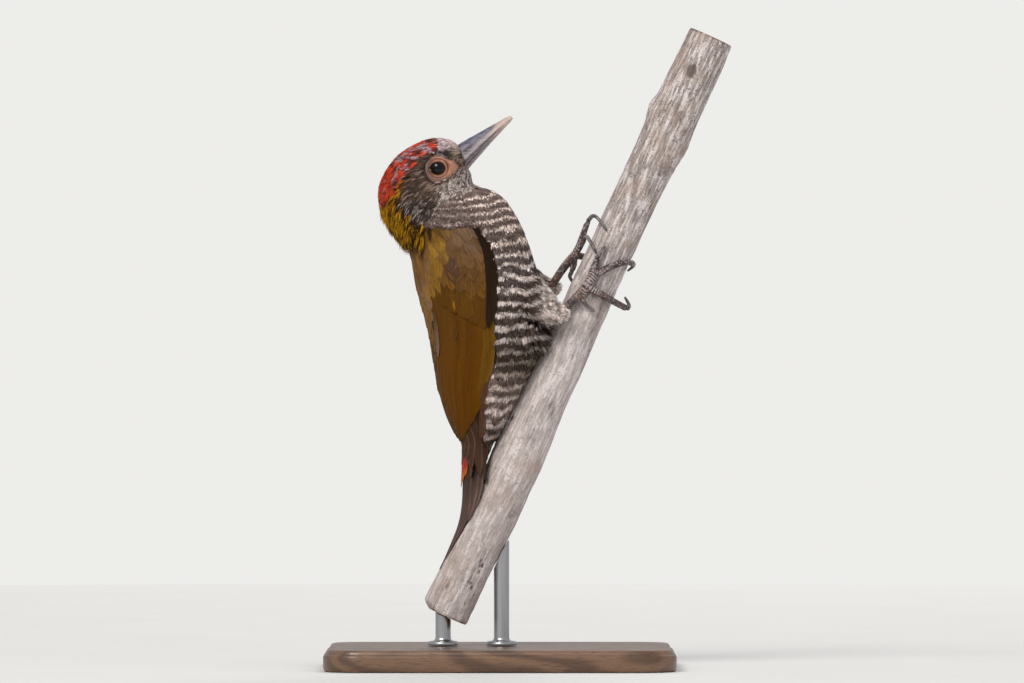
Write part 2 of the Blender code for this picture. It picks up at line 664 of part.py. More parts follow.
def main():
    for thing in list(bpy.data.objects):
        bpy.data.objects.remove(thing, do_unlink=True)

    makeBranch("perch", 0.0, "bark")
    branchCutter = makeBranch("branch cutter", gap, "bark")
    makeBase()
    for name, (x, top) in rodPlaces.items():
        makeRod(name, x, top, branchCutter)

    body = makeBody()
    wings = {"wing_right": 1, "wing_left": -1}
    wingCutters = [makeWing(name + " cutter", side, gap, "tan feathers") for name, side in wings.items()]
    thighCutters = [makeThigh(name + " cutter", rows, gap, "tan feathers") for name, rows in thighs.items()]
    billCutter = makeBill("bill cutter", True, gap, "horn")
    eyeX, eyeY, eyeZ = eyeCentre
    eyes = {"eye_right": (eyeX, -eyeY, eyeZ), "eye_left": (eyeX, eyeY, eyeZ)}
    sockets = [makeBall(name + " socket", centre, eyeRadius + gap, "eye") for name, centre in eyes.items()]

    head = keepSide("head", body, neckPlanes["head"], 1, "red feathers")
    rest = keepSide("rest", body, neckPlanes["head"], -1, "tan feathers")
    keepSide("neck", rest, neckPlanes["neck"], 1, "tan feathers")
    trunk = keepSide("trunk_body", rest, neckPlanes["neck"], -1, "barred feathers")
    discard([body, rest])
    trunk.name = "trunk"
    combine(head, [billCutter, *sockets], "DIFFERENCE")
    combine(trunk, wingCutters + thighCutters + [branchCutter], "DIFFERENCE")

    tail = makeTail()
    combine(tail, wingCutters, "DIFFERENCE")
    for name, side in wings.items():
        makeWing(name, side, 0.0, "gold feathers")
    for name, centre in eyes.items():
        makeBall(name, centre, eyeRadius, "eye")
    makeBill("bill_upper", True, 0.0, "horn")
    makeBill("bill_lower", False, 0.0, "pale horn")

    for side in ("right", "left"):
        name = "leg_" + side
        makeLeg(name)
        rows, first, last = legs[name]["tarsus"]
        tarsusCutter = legTube("tarsus cutter", rows, first, last, gap, 7, legSides, "skin")
        thigh = makeThigh("thigh_" + side, thighs["thigh_" + side], 0.0, "barred feathers")
        combine(thigh, [tarsusCutter], "DIFFERENCE")
        discard([tarsusCutter])
        for toe, (rows, _, last) in legs[name]["toes"].items():
            makeClaw("claw_" + toe + "_" + side, rows, last, legs[name]["claws"][toe])
    discard(wingCutters + thighCutters + [billCutter, branchCutter] + sockets)


main()
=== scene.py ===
from itertools import product
from math import atan2, cos, degrees, hypot, pi, radians, sin

import bpy
import bmesh
import numpy as np
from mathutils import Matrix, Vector, noise
from mathutils.bvhtree import BVHTree


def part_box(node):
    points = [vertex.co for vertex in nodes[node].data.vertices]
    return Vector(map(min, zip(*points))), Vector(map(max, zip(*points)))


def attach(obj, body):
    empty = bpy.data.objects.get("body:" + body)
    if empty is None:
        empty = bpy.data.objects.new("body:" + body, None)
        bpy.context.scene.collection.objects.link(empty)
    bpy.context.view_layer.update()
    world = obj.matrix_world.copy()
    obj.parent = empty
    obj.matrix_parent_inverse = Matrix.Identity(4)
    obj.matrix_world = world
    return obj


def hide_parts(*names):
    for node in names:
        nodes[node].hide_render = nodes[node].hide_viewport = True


# Looks of a life-size woodpecker model on its branch. Tables are in millimetres, meshes in metres.
# The bird's belly faces +X, its right side faces -Y, and both sides are made by the same functions.
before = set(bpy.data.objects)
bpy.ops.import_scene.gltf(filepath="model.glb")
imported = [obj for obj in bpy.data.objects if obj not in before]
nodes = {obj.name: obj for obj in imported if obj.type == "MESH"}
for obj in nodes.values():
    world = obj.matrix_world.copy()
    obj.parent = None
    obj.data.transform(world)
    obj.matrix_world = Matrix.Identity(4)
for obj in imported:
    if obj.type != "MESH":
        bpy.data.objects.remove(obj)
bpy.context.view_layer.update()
scene = bpy.context.scene
mm = 0.001
chance = np.random.default_rng(11)


def newMesh(name, points, faces, material):
    # faces is a list of arrays, each with one row of corner numbers per face
    mesh = bpy.data.meshes.new(name)
    points = np.asarray(points, np.float32)
    mesh.vertices.add(len(points))
    mesh.vertices.foreach_set("co", points.ravel())
    corners = np.concatenate([np.asarray(f, np.int32).ravel() for f in faces])
    sizes = np.concatenate([np.full(len(f), np.shape(f)[1], np.int32) for f in faces])
    starts = np.concatenate([[0], np.cumsum(sizes)[:-1]]).astype(np.int32)
    mesh.loops.add(len(corners))
    mesh.loops.foreach_set("vertex_index", corners)
    mesh.polygons.add(len(sizes))
    mesh.polygons.foreach_set("loop_start", starts)
    mesh.update(calc_edges=True)
    mesh.materials.append(material)
    piece = bpy.data.objects.new(name, mesh)
    scene.collection.objects.link(piece)
    shadeSmooth(piece)
    return piece


def addField(piece, name, values):
    # a number or a triple kept at every point, for the material to read
    values = np.asarray(values, np.float32)
    kind, key = ("FLOAT", "value") if values.ndim == 1 else ("FLOAT_VECTOR", "vector")
    piece.data.attributes.new(name, kind, "POINT").data.foreach_set(key, values.ravel())


def addUnwrap(piece, places):
    corners = np.zeros(len(piece.data.loops), np.int32)
    piece.data.loops.foreach_get("vertex_index", corners)
    layer = piece.data.uv_layers.new(name="OFBake")
    layer.data.foreach_set("uv", np.asarray(places, np.float32)[corners].ravel())


def readPoints(piece, key="co"):
    flat = np.zeros(len(piece.data.vertices) * 3, np.float32)
    piece.data.vertices.foreach_get(key, flat)
    return flat.reshape(-1, 3).astype(float)


def movePoints(piece, points):
    piece.data.vertices.foreach_set("co", points.astype(np.float32).ravel())
    piece.data.update()


def shadeSmooth(piece):
    piece.data.polygons.foreach_set("use_smooth", np.ones(len(piece.data.polygons), bool))


def giveMaterial(piece, material):
    piece.data.materials.clear()
    piece.data.materials.append(material)


def finishPiece(piece, slot, *replaced):
    # every piece rides on the one body, and some stand for CAD nodes
    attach(piece, "root")
    if replaced:
        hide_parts(*replaced)


def tubeFaces(rows, around, inward=False):
    # quads between rings of points that follow each other
    cells = np.arange(rows * around).reshape(rows, around)
    after = np.roll(cells, -1, axis=1)
    corners = (cells[:-1], after[:-1], after[1:], cells[1:])
    if inward:
        corners = (cells[:-1], cells[1:], after[1:], after[:-1])
    return np.stack(corners, -1).reshape(-1, 4)


def unit(rows):
    return rows / np.maximum(np.linalg.norm(rows, axis=-1, keepdims=True), 1e-12)


def ease(value, low, high):
    t = np.clip((value - low) / (high - low), 0.0, 1.0)
    return t * t * (3 - 2 * t)


def hump(value, middle, spread):
    return np.exp(-((value - middle) / spread) ** 2)


def copyOf(names, name, swell=0.0):
    # one welded mesh from several CAD nodes, pushed out a little so that neighbours run into each other
    build = bmesh.new()
    for node in names:
        part = bmesh.new()
        part.from_mesh(nodes[node].data)
        bmesh.ops.remove_doubles(part, verts=part.verts, dist=1e-6)
        part.normal_update()
        for vert in part.verts:
            vert.co += vert.normal * swell
        held = bpy.data.meshes.new("held")
        part.to_mesh(held)
        build.from_mesh(held)
        part.free()
        bpy.data.meshes.remove(held)
    mesh = bpy.data.meshes.new(name)
    build.to_mesh(mesh)
    build.free()
    piece = bpy.data.objects.new(name, mesh)
    scene.collection.objects.link(piece)
    return piece


def applyModifiers(piece):
    graph = bpy.context.evaluated_depsgraph_get()
    done = bpy.data.meshes.new_from_object(piece.evaluated_get(graph))
    piece.modifiers.clear()
    old = piece.data
    piece.data = done
    bpy.data.meshes.remove(old)


def remesh(piece, voxel, rounds, factor=0.5):
    shell = piece.modifiers.new("remesh", "REMESH")
    shell.mode = "VOXEL"
    shell.voxel_size = voxel
    if rounds:
        soft = piece.modifiers.new("smooth", "SMOOTH")
        soft.factor = factor
        soft.iterations = rounds
    applyModifiers(piece)


def treeOf(piece):
    mesh = piece.data
    return BVHTree.FromPolygons([v.co for v in mesh.vertices], [p.vertices for p in mesh.polygons])


def nodeTree(name):
    held = copyOf([name], "held")
    tree = treeOf(held)
    bpy.data.objects.remove(held)
    return tree


class Wire:
    # an output of a shader node that takes part in sums as a number does
    def __init__(self, socket):
        self.socket = socket
        self.tree = socket.id_data

    def sum(self, operation, other=0.0):
        return Wire(addNode(self.tree, "Math", {0: self, 1: other}, operation=operation).outputs[0])

    def __add__(self, other):
        return self.sum("ADD", other)

    def __sub__(self, other):
        return self.sum("SUBTRACT", other)

    def __rsub__(self, other):
        return Wire(addNode(self.tree, "Math", {0: other, 1: self}, operation="SUBTRACT").outputs[0])

    def __mul__(self, other):
        return self.sum("MULTIPLY", other)

    def __abs__(self):
        return self.sum("ABSOLUTE")


def plug(source, target):
    # links a wire, or sets a number or a colour
    if isinstance(source, Wire):
        source.tree.links.new(source.socket, target)
    elif isinstance(source, tuple) and len(source) == 3 and target.type != "VECTOR":
        target.default_value = (*source, 1.0)
    else:
        target.default_value = source


def addNode(tree, kind, inputs, **settings):
    node = tree.nodes.new("ShaderNode" + kind)
    for label, value in settings.items():
        setattr(node, label, value)
    for label, value in inputs.items():
        plug(value, node.inputs[label])
    return node


def wiresOf(node):
    return {socket.name: Wire(socket) for socket in node.outputs}


def makeGroup(name, inputs, outputs):
    tree = bpy.data.node_groups.new(name, "ShaderNodeTree")
    for label, kind, value in inputs:
        socket = tree.interface.new_socket(name=label, in_out="INPUT", socket_type="NodeSocket" + kind)
        socket.default_value = value
    for label, kind in outputs:
        tree.interface.new_socket(name=label, in_out="OUTPUT", socket_type="NodeSocket" + kind)
    return tree, wiresOf(tree.nodes.new("NodeGroupInput")), tree.nodes.new("NodeGroupOutput").inputs


def stretch(value, low, high, newLow=0.0, newHigh=1.0):
    inputs = {"Value": value, "From Min": low, "From Max": high, "To Min": newLow, "To Max": newHigh}
    return Wire(addNode(value.tree, "MapRange", inputs, interpolation_type="SMOOTHSTEP").outputs[0])


def blend(share, first, second):
    inputs = {0: share, 6: first, 7: second}
    return Wire(addNode(share.tree, "Mix", inputs, data_type="RGBA", clamp_factor=True).outputs[2])


def cloudy(where, scale, detail=3.0, rough=0.55):
    inputs = {"Vector": where, "Scale": scale, "Detail": detail, "Roughness": rough}
    return Wire(addNode(where.tree, "TexNoise", inputs).outputs["Fac"])


def field(tree, name, output="Vector"):
    return Wire(addNode(tree, "Attribute", {}, attribute_name=name).outputs[output])


def scaled(vector, factors):
    return Wire(addNode(vector.tree, "VectorMath", {0: vector, 1: factors}, operation="MULTIPLY").outputs[0])


def turned(where, angle, scale=(1.0, 1.0, 1.0)):
    # turned round Y, then squeezed
    inputs = {"Vector": where, "Rotation": (0.0, angle, 0.0), "Scale": scale}
    return Wire(addNode(where.tree, "Mapping", inputs).outputs[0])


def parted(vector):
    return [Wire(socket) for socket in addNode(vector.tree, "SeparateXYZ", {0: vector}).outputs]


def joined(x, y, z):
    return Wire(addNode(x.tree, "CombineXYZ", {0: x, 1: y, 2: z}).outputs[0])


def placeOn(tree):
    return Wire(tree.nodes.new("ShaderNodeTexCoord").outputs["Object"])


def newMaterial(name):
    # a material, and the place on the piece
    material = bpy.data.materials.new(name)
    material.use_nodes = True
    return material, placeOn(material.node_tree)


def finishMaterial(material, colour, rough, height, depth, strength=1.0, **fixed):
    tree = material.node_tree
    shader = next(node for node in tree.nodes if node.type == "BSDF_PRINCIPLED")
    plug(colour, shader.inputs["Base Color"])
    plug(rough, shader.inputs["Roughness"])
    bump = addNode(tree, "Bump", {"Strength": strength, "Distance": depth * mm, "Height": height})
    plug(Wire(bump.outputs[0]), shader.inputs["Normal"])
    for label, value in fixed.items():
        shader.inputs[label.replace("_", " ")].default_value = value
    return material


# Colour of a feather: root, middle and tip colours run along it, pale bars cross it, and fine barbs
# break it up. The fields that it reads are laid down with each feather and with the skin.
def makePlumageGroup():
    inputs = [("Barb Strength", "Float", 0.5), ("Shaft Strength", "Float", 0.0),
              ("Edge Strength", "Float", 0.0), ("Tone Change", "Float", 0.25)]
    outputs = [("Color", "Color"), ("Roughness", "Float"), ("Height", "Float")]
    tree, given, out = makeGroup("plumage", inputs, outputs)
    along, across, seed = parted(field(tree, "feather"))
    tints = [field(tree, name, "Color") for name in ("rootTint", "bodyTint", "tipTint", "barTint")]
    root, body, tip, bar = tints
    barbs = cloudy(joined(along * 1.6, across * 7.0, seed * 37.0), 1.4, 2.0)
    fine = cloudy(scaled(placeOn(tree), (900.0, 900.0, 900.0)), 1.0, 2.0)
    wobble = (barbs - 0.5) * 0.35
    run = along + wobble
    colour = blend(stretch(run, 0.12, 0.55), root, body)
    colour = blend(stretch(run, 0.62, 0.88), colour, tip)
    # how many bars lie below, the share of each that is pale, and how strong they are
    count, width, strength = parted(field(tree, "bars"))
    off = abs((count + wobble * 0.28).sum("FRACT") - 0.42)
    pale = 1.0 - stretch(off, width * 0.36, width * 0.64)
    colour = blend(pale * strength, colour, bar)
    edge = stretch(across + wobble * 0.3, 0.55, 0.95)
    colour = blend(edge * given["Edge Strength"], colour, bar)
    shaft = 1.0 - stretch(abs(across), 0.03, 0.1)
    colour = blend(shaft * given["Shaft Strength"], colour, root)
    tone = stretch(barbs, 0.3, 0.7, -1.0, 1.0) * given["Barb Strength"]
    tone = tone + (seed - 0.5) * given["Tone Change"] + (fine - 0.5) * 0.35
    factor = (tone + 1.0).sum("MAXIMUM", 0.15)
    plug(scaled(colour, joined(factor, factor, factor)), out["Color"])
    plug(stretch(barbs, 0.2, 0.8, 0.72, 0.5), out["Roughness"])
    plug(barbs + fine * 0.4, out["Height"])
    return tree


plumageGroup = makePlumageGroup()


def featherMaterial(name, barb=0.4, shaft=0.0, edge=0.0, tone=0.3, depth=0.06, gloss=0.3):
    material, _ = newMaterial(name)
    values = {"Barb Strength": barb, "Shaft Strength": shaft, "Edge Strength": edge, "Tone Change": tone}
    out = wiresOf(addNode(material.node_tree, "Group", values, node_tree=plumageGroup))
    return finishMaterial(material, out["Color"], out["Roughness"], out["Height"], depth,
                          Specular_IOR_Level=gloss)


# Two tones that follow a noise, with a finer grain over them. Horn, skin, bark, wood and steel all use it.
def makeMottleGroup():
    inputs = [("Vector", "Vector", (0.0, 0.0, 0.0)), ("First", "Color", (1, 1, 1, 1)),
              ("Second", "Color", (0, 0, 0, 1)), ("Scale", "Float", 100.0), ("Low", "Float", 0.4),
              ("High", "Float", 0.6), ("Grain", "Float", 0.2), ("Grain Scale", "Float", 1500.0)]
    outputs = [("Color", "Color"), ("Mask", "Float"), ("Height", "Float")]
    tree, given, out = makeGroup("mottle", inputs, outputs)
    broad = cloudy(given["Vector"], given["Scale"], 5.0, 0.6)
    grain = cloudy(given["Vector"], given["Grain Scale"], 3.0, 0.6)
    mask = stretch(broad, given["Low"], given["High"])
    factor = (grain - 0.5) * given["Grain"] + 1.0
    colour = blend(mask, given["First"], given["Second"])
    plug(scaled(colour, joined(factor, factor, factor)), out["Color"])
    plug(mask, out["Mask"])
    plug(broad + grain * 0.5, out["Height"])
    return tree


mottleGroup = makeMottleGroup()


def mottled(where, first, second, scale, low, high, grain, grainScale):
    values = {"Vector": where, "First": first, "Second": second, "Scale": scale, "Low": low, "High": high,
              "Grain": grain, "Grain Scale": grainScale}
    return wiresOf(addNode(where.tree, "Group", values, node_tree=mottleGroup))


# The bird's outer surface, and where each kind of feather grows.
flesh = ["head", "neck", "trunk", "thigh_left", "thigh_right", "wing_left", "wing_right"]
hull = {"voxel": 0.62, "swell": 0.22, "smooth": 4}
outer = copyOf(flesh, "outer", hull["swell"] * mm)
remesh(outer, hull["voxel"] * mm, hull["smooth"])
outerPoints = readPoints(outer)
outerNormals = readPoints(outer, "normal")
outerTree = treeOf(outer)
withTail = copyOf(flesh + ["tail"], "withTail", hull["swell"] * mm)
remesh(withTail, 0.8 * mm, 6)
coatTree = treeOf(withTail)
bpy.data.objects.remove(withTail)
outer.data.calc_loop_triangles()
outerTriangles = np.zeros(len(outer.data.loop_triangles) * 3, np.int32)
outer.data.loop_triangles.foreach_get("vertices", outerTriangles)
outerTriangles = outerTriangles.reshape(-1, 3)
print("outer surface:", len(outerPoints), "points")

nodeTrees = {node: nodeTree(node) for node in flesh}

billHigh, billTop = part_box("bill_lower")[1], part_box("bill_upper")[1]
eyeLow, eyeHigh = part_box("eye_right")
eyeCentre = np.array((eyeLow + eyeHigh) / 2) / mm
billTip = np.array([max(billHigh.x, billTop.x), 0.0, max(billHigh.z, billTop.z)]) / mm
billRoot = np.array([eyeCentre[0] + 8.0, 0.0, eyeCentre[2] + 3.2])


def bodyMiddles():
    # middle of the body at each height, from its front and back
    heights, middles = [], []
    for height in np.arange(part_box("trunk")[0].z / mm + 1, 158.0, 2.0):
        back = outerTree.ray_cast(Vector((-0.2, 0.0004, height * mm)), Vector((1, 0, 0)))[0]
        front = outerTree.ray_cast(Vector((0.2, 0.0004, height * mm)), Vector((-1, 0, 0)))[0]
        if back and front:
            heights.append(height)
            middles.append((back.x + front.x) / 2 / mm)
    return np.array(heights), np.array(middles)


middleHeights, middlePlaces = bodyMiddles()


def middleAt(height):
    return np.interp(height, middleHeights, middlePlaces)


def besideLine(points, line):
    # how far points lie to the left of a line drawn through (x, z) places, in millimetres
    best = np.full(len(points), 1e9)
    signed = np.zeros(len(points))
    for (ax, az), (bx, bz) in zip(line, line[1:]):
        dx, dz = bx - ax, bz - az
        length = hypot(dx, dz)
        px, pz = points[:, 0] - ax, points[:, 2] - az
        share = np.clip((px * dx + pz * dz) / length**2, 0, 1)
        away = np.hypot(px - share * dx, pz - share * dz)
        side = (dx * pz - dz * px) / length
        nearer = away < best
        best = np.where(nearer, away, best)
        signed = np.where(nearer, np.sign(side) * away, signed)
    return signed


# Edges between the plumage areas in the side view, X and Z from the eye's centre.
areas = {
    "crownEdge": [(0.6, 9.0), (1.6, 5.4), (-3.4, 3.9), (-7.4, -0.9), (-11.4, -6.2), (-20.0, -11.5)],
    "crownFront": 1.5,
    "napeEdge": [(-4.6, 1.6), (-8.6, -3.6), (-11.0, -8.0), (-10.6, -11.0), (-6.6, -15.4), (-1.6, -18.9),
                 (6.0, -21.0)],
    "barsTop": [(-4.0, -13.2), (1.5, -10.6), (7.0, -7.6), (14.0, -3.8)],
    "cheekEdge": [(0.0, -6.0), (3.2, -5.2), (7.4, -0.6)],
}


def plumageShares(points):
    # points in millimetres; gives the share of each plumage area at every point
    near = points - np.array([eyeCentre[0], 0.0, eyeCentre[2]])
    aboveCrown = -besideLine(near, areas["crownEdge"])
    ahead = near[:, 0] - areas["crownFront"]
    behindNape = -besideLine(near, areas["napeEdge"])
    belowBars = -besideLine(near, areas["barsTop"])
    shares = {}
    head = ease(near[:, 2], -12.5, -10.5)
    shares["crown"] = ease(aboveCrown, -0.4, 0.4) * ease(-ahead, -0.5, 0.5) * head
    shares["forehead"] = ease(ahead, -0.5, 0.5) * ease(near[:, 2] - 0.45 * near[:, 0], 1.2, 2.2)
    shares["nape"] = (1 - shares["crown"]) * ease(behindNape, -1.2, 1.2) * ease(near[:, 2], -27, -20)
    shares["nape"] *= 1 - ease(near[:, 2], -3.4, -1.6)
    upper = (1 - shares["crown"]) * (1 - shares["nape"]) * (1 - shares["forehead"])
    throat = ease(-besideLine(near, areas["cheekEdge"]), -0.8, 0.8) * ease(near[:, 0], 1.0, 2.5)
    face = upper * ease(-belowBars, -1.0, 1.0)
    shares["throat"] = face * throat
    cheek = face * (1 - throat)
    low = ease(-near[:, 2], 8.5, 11.5)
    shares["cheek"] = cheek * (1 - low)
    shares["neckSide"] = cheek * low
    shares["bars"] = upper * ease(belowBars, -1.0, 1.0)
    return shares


def angleOf(points):
    return np.degrees(np.arctan2(np.abs(points[:, 1]), middleAt(points[:, 2]) - points[:, 0]))


def nodeDistance(points, names):
    found = np.full(len(points), 1e9)
    for name in names:
        tree = nodeTrees[name]
        found = np.minimum(found, [tree.find_nearest(Vector(p * mm))[3] / mm for p in points])
    return found


onWing = nodeDistance(outerPoints / mm, ["wing_left", "wing_right"])
onTrunk = nodeDistance(outerPoints / mm, ["trunk", "neck", "head"])
onThigh = nodeDistance(outerPoints / mm, ["thigh_left", "thigh_right"])


def areaShares():
    points = outerPoints / mm
    shares = plumageShares(points)
    angle = angleOf(points)
    height = points[:, 2]
    wing = ease(onTrunk - onWing, -0.35, 0.35) * (1 - ease(height, 139.5, 142.5))
    thigh = ease(np.minimum(onTrunk, onWing) - onThigh, -0.3, 0.3)
    back = (1 - ease(angle, 62, 72)) * (1 - ease(height, 136.0, 142.0))
    shares["mantle"] = back * (1 - wing) * (1 - thigh)
    for name in shares:
        if name != "mantle":
            shares[name] = shares[name] * (1 - wing) * (1 - thigh) * (1 - back)
    shares["wing"] = wing
    shares["thigh"] = thigh
    total = sum(shares.values())
    missing = np.clip(1 - total, 0, 1)
    shares["bars"] = shares["bars"] + missing * (1 - back)
    shares["mantle"] = shares["mantle"] + missing * back
    total = sum(shares.values())
    return {name: value / total for name, value in shares.items()}


outerShares = areaShares()
areaNames = sorted(outerShares)
shareTable = np.stack([outerShares[name] for name in areaNames], 1)
print("plumage areas:", ", ".join(areaNames))

# Root, middle and tip colour of the feathers in each area, and of the pale bars.
plumage = {
    "forehead": ((0.16, 0.11, 0.105), (0.55, 0.41, 0.42), (0.72, 0.56, 0.57)),
    "crown": ((0.06, 0.03, 0.03), (0.42, 0.055, 0.03), (0.9, 0.1, 0.04)),
    "nape": ((0.018, 0.01, 0.005), (0.16, 0.085, 0.012), (0.8, 0.46, 0.03)),
    "cheek": ((0.045, 0.029, 0.022), (0.125, 0.078, 0.058), (0.36, 0.27, 0.22)),
    "throat": ((0.16, 0.12, 0.11), (0.36, 0.29, 0.26), (0.6, 0.51, 0.47)),
    "neckSide": ((0.03, 0.021, 0.018), (0.1, 0.075, 0.07), (0.44, 0.37, 0.35)),
    "bars": ((0.05, 0.034, 0.028), (0.078, 0.052, 0.042), (0.078, 0.052, 0.042)),
    "mantle": ((0.09, 0.04, 0.008), (0.28, 0.13, 0.022), (0.38, 0.2, 0.034)),
    "wing": ((0.05, 0.024, 0.008), (0.12, 0.055, 0.016), (0.15, 0.075, 0.026)),
    "thigh": ((0.8, 0.62, 0.54), (1.0, 0.84, 0.76), (1.0, 0.91, 0.85)),
}
paleBar = (0.8, 0.68, 0.6)
tintTable = np.array([plumage[name] for name in areaNames])


# Bars run level round the body: distance between two in millimetres at the flank and at the throat.
barring = {"flank": 3.85, "throat": 2.35, "low": 130.0, "high": 150.0, "wave": 0.2, "jitter": 0.07,
           "strandJitter": 0.05}
barHeights = np.arange(50.0, 170.0, 0.5)
closer = (barring["throat"] - barring["flank"]) * ease(barHeights, barring["low"], barring["high"])
barCounts = np.cumsum(0.5 / (barring["flank"] + closer))


def barPhase(points):
    # how many bars lie below each place; they dip on the flank and rise towards the breastbone
    front = np.clip((angleOf(points) - 105.0) / 75.0, 0, 1)
    rise = (1.0 + 2.2 * ease(points[:, 2], 122.0, 146.0)) * front**1.6
    wave = np.array([noise.noise(Vector((p[0] * 0.17, abs(p[1]) * 0.17, p[2] * 0.11))) for p in points])
    return np.interp(points[:, 2] - rise, barHeights, barCounts) + barring["wave"] * 2.2 * wave


def tintsFor(shares):
    # sharpened, so that each feather takes mostly one area's colours
    weight = shares**3
    weight = weight / weight.sum(1, keepdims=True)
    return np.einsum("na,atc->ntc", weight, tintTable)


# How far the skin lies under the feathers, and the most as a share of the thickness.
skinDepth = {"face": 0.4, "body": 0.95, "most": 0.35, "socket": 3.4, "socketReach": (3.3, 4.6)}


def makeSkin():
    points = outerPoints / mm
    faceShare = ease(points[:, 2], 146.0, 154.0)
    depth = skinDepth["body"] * (1 - faceShare) + skinDepth["face"] * faceShare
    for index, (point, normal) in enumerate(zip(outerPoints, outerNormals)):
        start = Vector(point - normal * 0.05 * mm)
        hit = outerTree.ray_cast(start, Vector(-normal))
        if hit[0] is not None:
            depth[index] = min(depth[index], skinDepth["most"] * hit[3] / mm)
    around = np.hypot(points[:, 0] - eyeCentre[0], points[:, 2] - eyeCentre[2])
    socket = (1 - ease(around, *skinDepth["socketReach"])) * (np.abs(points[:, 1]) > 3.5)
    inward = np.clip(np.minimum(skinDepth["socket"], np.abs(points[:, 1]) - 1.5), 0, None) * socket
    piece = outer
    piece.name = "skin"
    piece.data.name = "skin"
    moved = outerPoints - outerNormals * (depth * mm)[:, None]
    moved[:, 1] -= np.sign(points[:, 1]) * inward * mm
    movePoints(piece, moved)
    shadeSmooth(piece)
    tints = tintsFor(shareTable)
    addField(piece, "rootTint", tints[:, 0])
    addField(piece, "bodyTint", tints[:, 0] * 0.6 + tints[:, 1] * 0.4)
    addField(piece, "tipTint", tints[:, 1])
    addField(piece, "barTint", np.tile(np.array(paleBar), (len(points), 1)))
    share = shareTable[:, areaNames.index("bars")]
    addField(piece, "bars", np.stack([barPhase(points), np.full(len(points), 0.34), share * 0.6], 1))
    addField(piece, "feather", np.tile((0.5, 0.0, 0.5), (len(points), 1)))
    giveMaterial(piece, featherMaterial("skin down", barb=0.0, depth=0.15, tone=0.0))
    finishPiece(piece, "barred_plumage", *flesh)
    return depth


outerDepth = makeSkin()
print("skin: done")


bill = {
    "pitch": 39.3, "length": 20.2, "rows": 64, "around": 36, "slit": 0.07,
    # distance from the base, then ridge, gape line and underside across it, and half the width
    "sections": [(-1.4, 4.4, -2.0, -4.1, 3.5), (1.4, 4.1, -1.5, -3.55, 3.4), (5.0, 3.55, -1.15, -2.95, 2.95),
                 (9.0, 2.85, -0.85, -2.25, 2.35), (13.0, 2.15, -0.5, -1.7, 1.75),
                 (17.0, 1.45, -0.2, -1.1, 1.15), (19.4, 0.95, -0.05, -0.75, 0.75),
                 (20.2, 0.62, 0.0, -0.5, 0.45)],
}
billForward = np.array([cos(radians(bill["pitch"])), 0.0, sin(radians(bill["pitch"]))])
billUp = np.array([-billForward[2], 0.0, billForward[0]])
billEnd = billTip - np.array([0.42, 0.0, 0.66])
billBase = billEnd - billForward * bill["length"]

# Bare skin: a disc of fine rings from the edge of the eye to under the feathers, drawn out to the gape.
lids = {"inner": 2.4, "flat": 0.88, "drop": 0.55, "outer": 3.75, "front": 0.45, "low": 0.45, "gape": 2.5,
        "gapeTurn": 0.1, "gapePower": 9, "rings": 34, "around": 96, "tuck": 0.9, "clear": 3.75, "fold": 0.62}
eyeSpot = eyeCentre - np.array([0.0, 0.0, lids["drop"]])


def lidReach(turn):
    # outer radius of the bare skin in each direction
    lean = np.cos(turn - lids["gapeTurn"])
    base = lids["outer"] + lids["front"] * np.cos(turn) + lids["low"] * np.clip(-np.sin(turn), 0, 1) ** 2
    return base + lids["gape"] * np.clip(lean, 0, 1) ** lids["gapePower"]


def beyondLids(points):
    # distance in the side view from the edge of the bare skin, in millimetres, large on top of the head
    nearX, nearZ = points[:, 0] - eyeSpot[0], points[:, 2] - eyeSpot[2]
    away = np.hypot(nearX, nearZ) - lidReach(np.arctan2(nearZ, nearX))
    return np.where(np.abs(points[:, 1]) > 2.5, away, 20.0)


# Lie of the coat: distances from the bill's root between which it turns downward, the way down, and the
# ankles that the feathers of the thighs point to.
lie = {"bend": (15.0, 37.0), "down": (-0.12, 0.0, -1.0), "ankle": (22.0, 10.0, 113.0)}


def lieOfCoat(points, normals, thigh):
    # where feathers point: away from the bill over the head, then down the body, and down each thigh
    points = points / mm
    away = points - billRoot
    distance = np.linalg.norm(away, axis=1)
    bend = ease(distance, *lie["bend"])
    down = np.tile(np.array(lie["down"]), (len(points), 1))
    way = unit(away) * (1 - 0.9 * bend)[:, None] + down * (1.3 * bend)[:, None]
    ankle = np.where(points[:, 1:2] < 0, (1, -1, 1), (1, 1, 1)) * np.array(lie["ankle"]) - points
    way = np.where(thigh[:, None], unit(ankle) + 0.35 * down, way)
    # the crest leans back over the nape
    way[:, 0] -= 0.42 * ease(-points[:, 0], 11.0, 18.0) * hump(distance, 18.0, 8.0)
    return unit(way - normals * np.sum(way * normals, 1, keepdims=True))


def kept(roots, which):
    return {name: values[which] for name, values in roots.items()}


